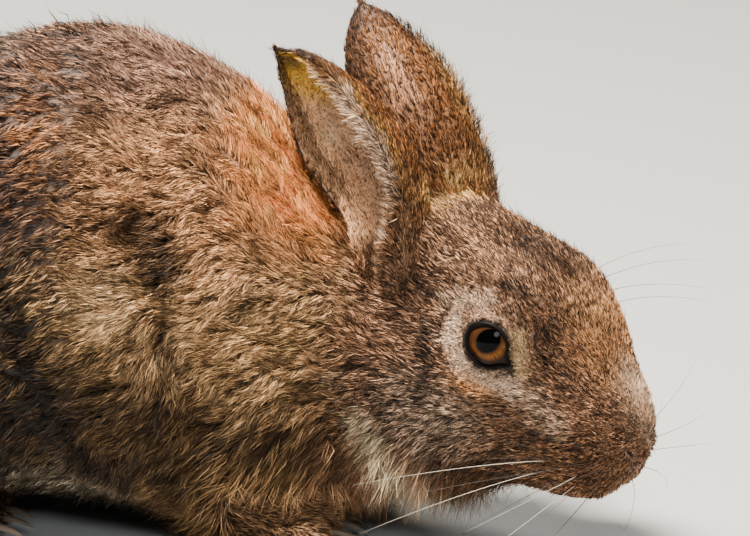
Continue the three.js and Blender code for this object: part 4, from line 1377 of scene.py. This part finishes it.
whisker_draw = np.random.default_rng(77)
for side in (-1, 1):
    build = bmesh.new()
    tint_layer = build.verts.layers.float_color.new("tint")
    for row in range(WHISKER_ROWS):
        for column in range(WHISKER_COLUMNS):
            x = 37 - 4.2 * column
            z = -14.5 - 3.6 * row - 0.6 * column
            root = nearest_skin((x, side * (8 + 1.6 * column), z))
            low = row / (WHISKER_ROWS - 1)
            backwards = 0.42 - 0.42 * column - 0.35 * low
            upwards = 0.34 - 0.42 * low - 0.9 * low ** 2
            out = unit(np.array([backwards, side, upwards])) + whisker_draw.normal(0, 0.07, 3)
            length = (28 + 6 * column) * whisker_draw.uniform(0.8, 1.15)
            white = low > 0.6 and column % 2
            colour = WHISKER_WHITE if white else WHISKER_BLACK
            sag = np.array([-0.28, 0, 0.06 - 0.30 * low]) * whisker_draw.uniform(0.6, 1.3)
            whisker(build, tint_layer, root, unit(HEAD_AXES @ out), sag, length, colour)
    for k in range(BROW_HAIRS):
        root = nearest_skin((3 + 2.2 * k, side * 13, 13.5 - 1.5 * k))
        out = unit(np.array([0.35 + 0.2 * k, side * 0.75, 0.75])) + whisker_draw.normal(0, 0.08, 3)
        length = 24 * whisker_draw.uniform(0.8, 1.2)
        sag = np.array([0.1, 0, -0.25])
        whisker(build, tint_layer, root, unit(HEAD_AXES @ out), sag, length, WHISKER_BLACK)
    bmesh.ops.recalc_face_normals(build, faces=build.faces)
    finish_piece("whiskers_left" if side > 0 else "whiskers_right", build, whisker_material)

# ---- Claws ----
# Slender curved claws of dark horn with a paler grain, half hidden in the fur of the toes. They are the
# frame's own claws with a new surface.

HORN_DARK = (0.03, 0.021, 0.015, 1)
HORN_PALE = (0.10, 0.07, 0.046, 1)

claw_material, tree, surface = new_material("claw_horn", Roughness=0.4)
grain = object_noise(tree, 700.0, 3.0)
tree.links.new(mix_colour(tree, grain, HORN_DARK, HORN_PALE), surface.inputs["Base Color"])
raise_relief(tree, surface, grain, 0.3, 0.0003)
for name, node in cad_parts.items():
    if name.startswith("claw_"):
        node.material_slots[0].material = claw_material

# ---- Studio ----
# A plain pale floor, soft lights overhead and behind, a weak one from the front, and the camera, which
# looks at the right side from a little ahead of it and a little above.

FLOOR_HALF = 6
AIM = HEAD_MIDDLE + np.array([-46.09, 16.73, 9.5])
CAMERA_TURN = math.radians(14)
CAMERA_LIFT = math.radians(13)
CAMERA_DISTANCE = 2000
VIEW_WIDTH = 197.4

floor_build = bmesh.new()
bmesh.ops.create_grid(floor_build, x_segments=1, y_segments=1, size=FLOOR_HALF)
floor_mesh = bpy.data.meshes.new("floor")
floor_build.to_mesh(floor_mesh)
floor_build.free()
floor_material, tree, surface = new_material("pale_floor", Roughness=0.8, Base_Color=(0.30, 0.30, 0.29, 1))
floor_mesh.materials.append(floor_material)
put_in_scene("floor", floor_mesh)


def soft_light(name, place, size, power, colour):
    light = bpy.data.lights.new(name, "AREA")
    light.shape = "DISK"
    light.size = size
    light.energy = power
    light.color = colour
    lamp = put_in_scene(name, light)
    lamp.location = place
    lamp.rotation_euler = (Vector(AIM * MM) - Vector(place)).to_track_quat("-Z", "Y").to_euler()


soft_light("overhead", (-0.15, -0.22, 1.15), 0.35, 102, (1.0, 0.93, 0.82))
soft_light("behind", (-0.45, 0.85, 0.85), 0.6, 20, (1.0, 0.98, 0.92))
soft_light("front_fill", (0.42, -1.30, 0.95), 0.55, 13, (0.92, 0.96, 1.0))

world = bpy.data.worlds.new("studio")
world.use_nodes = True
background = world.node_tree.nodes["Background"]
background.inputs["Color"].default_value = (0.93, 0.95, 0.94, 1)
background.inputs["Strength"].default_value = 0.12
bpy.context.scene.world = world

camera_data = bpy.data.cameras.new("camera")
camera_data.sensor_width = 36
camera_data.lens = camera_data.sensor_width * CAMERA_DISTANCE / VIEW_WIDTH
camera = put_in_scene("camera", camera_data)
back = Vector((
    math.sin(CAMERA_TURN) * math.cos(CAMERA_LIFT),
    -math.cos(CAMERA_TURN) * math.cos(CAMERA_LIFT),
    math.sin(CAMERA_LIFT),
))
camera.location = Vector(AIM * MM) + back * CAMERA_DISTANCE * MM
camera.rotation_euler = back.to_track_quat("Z", "Y").to_euler()
bpy.context.scene.camera = camera
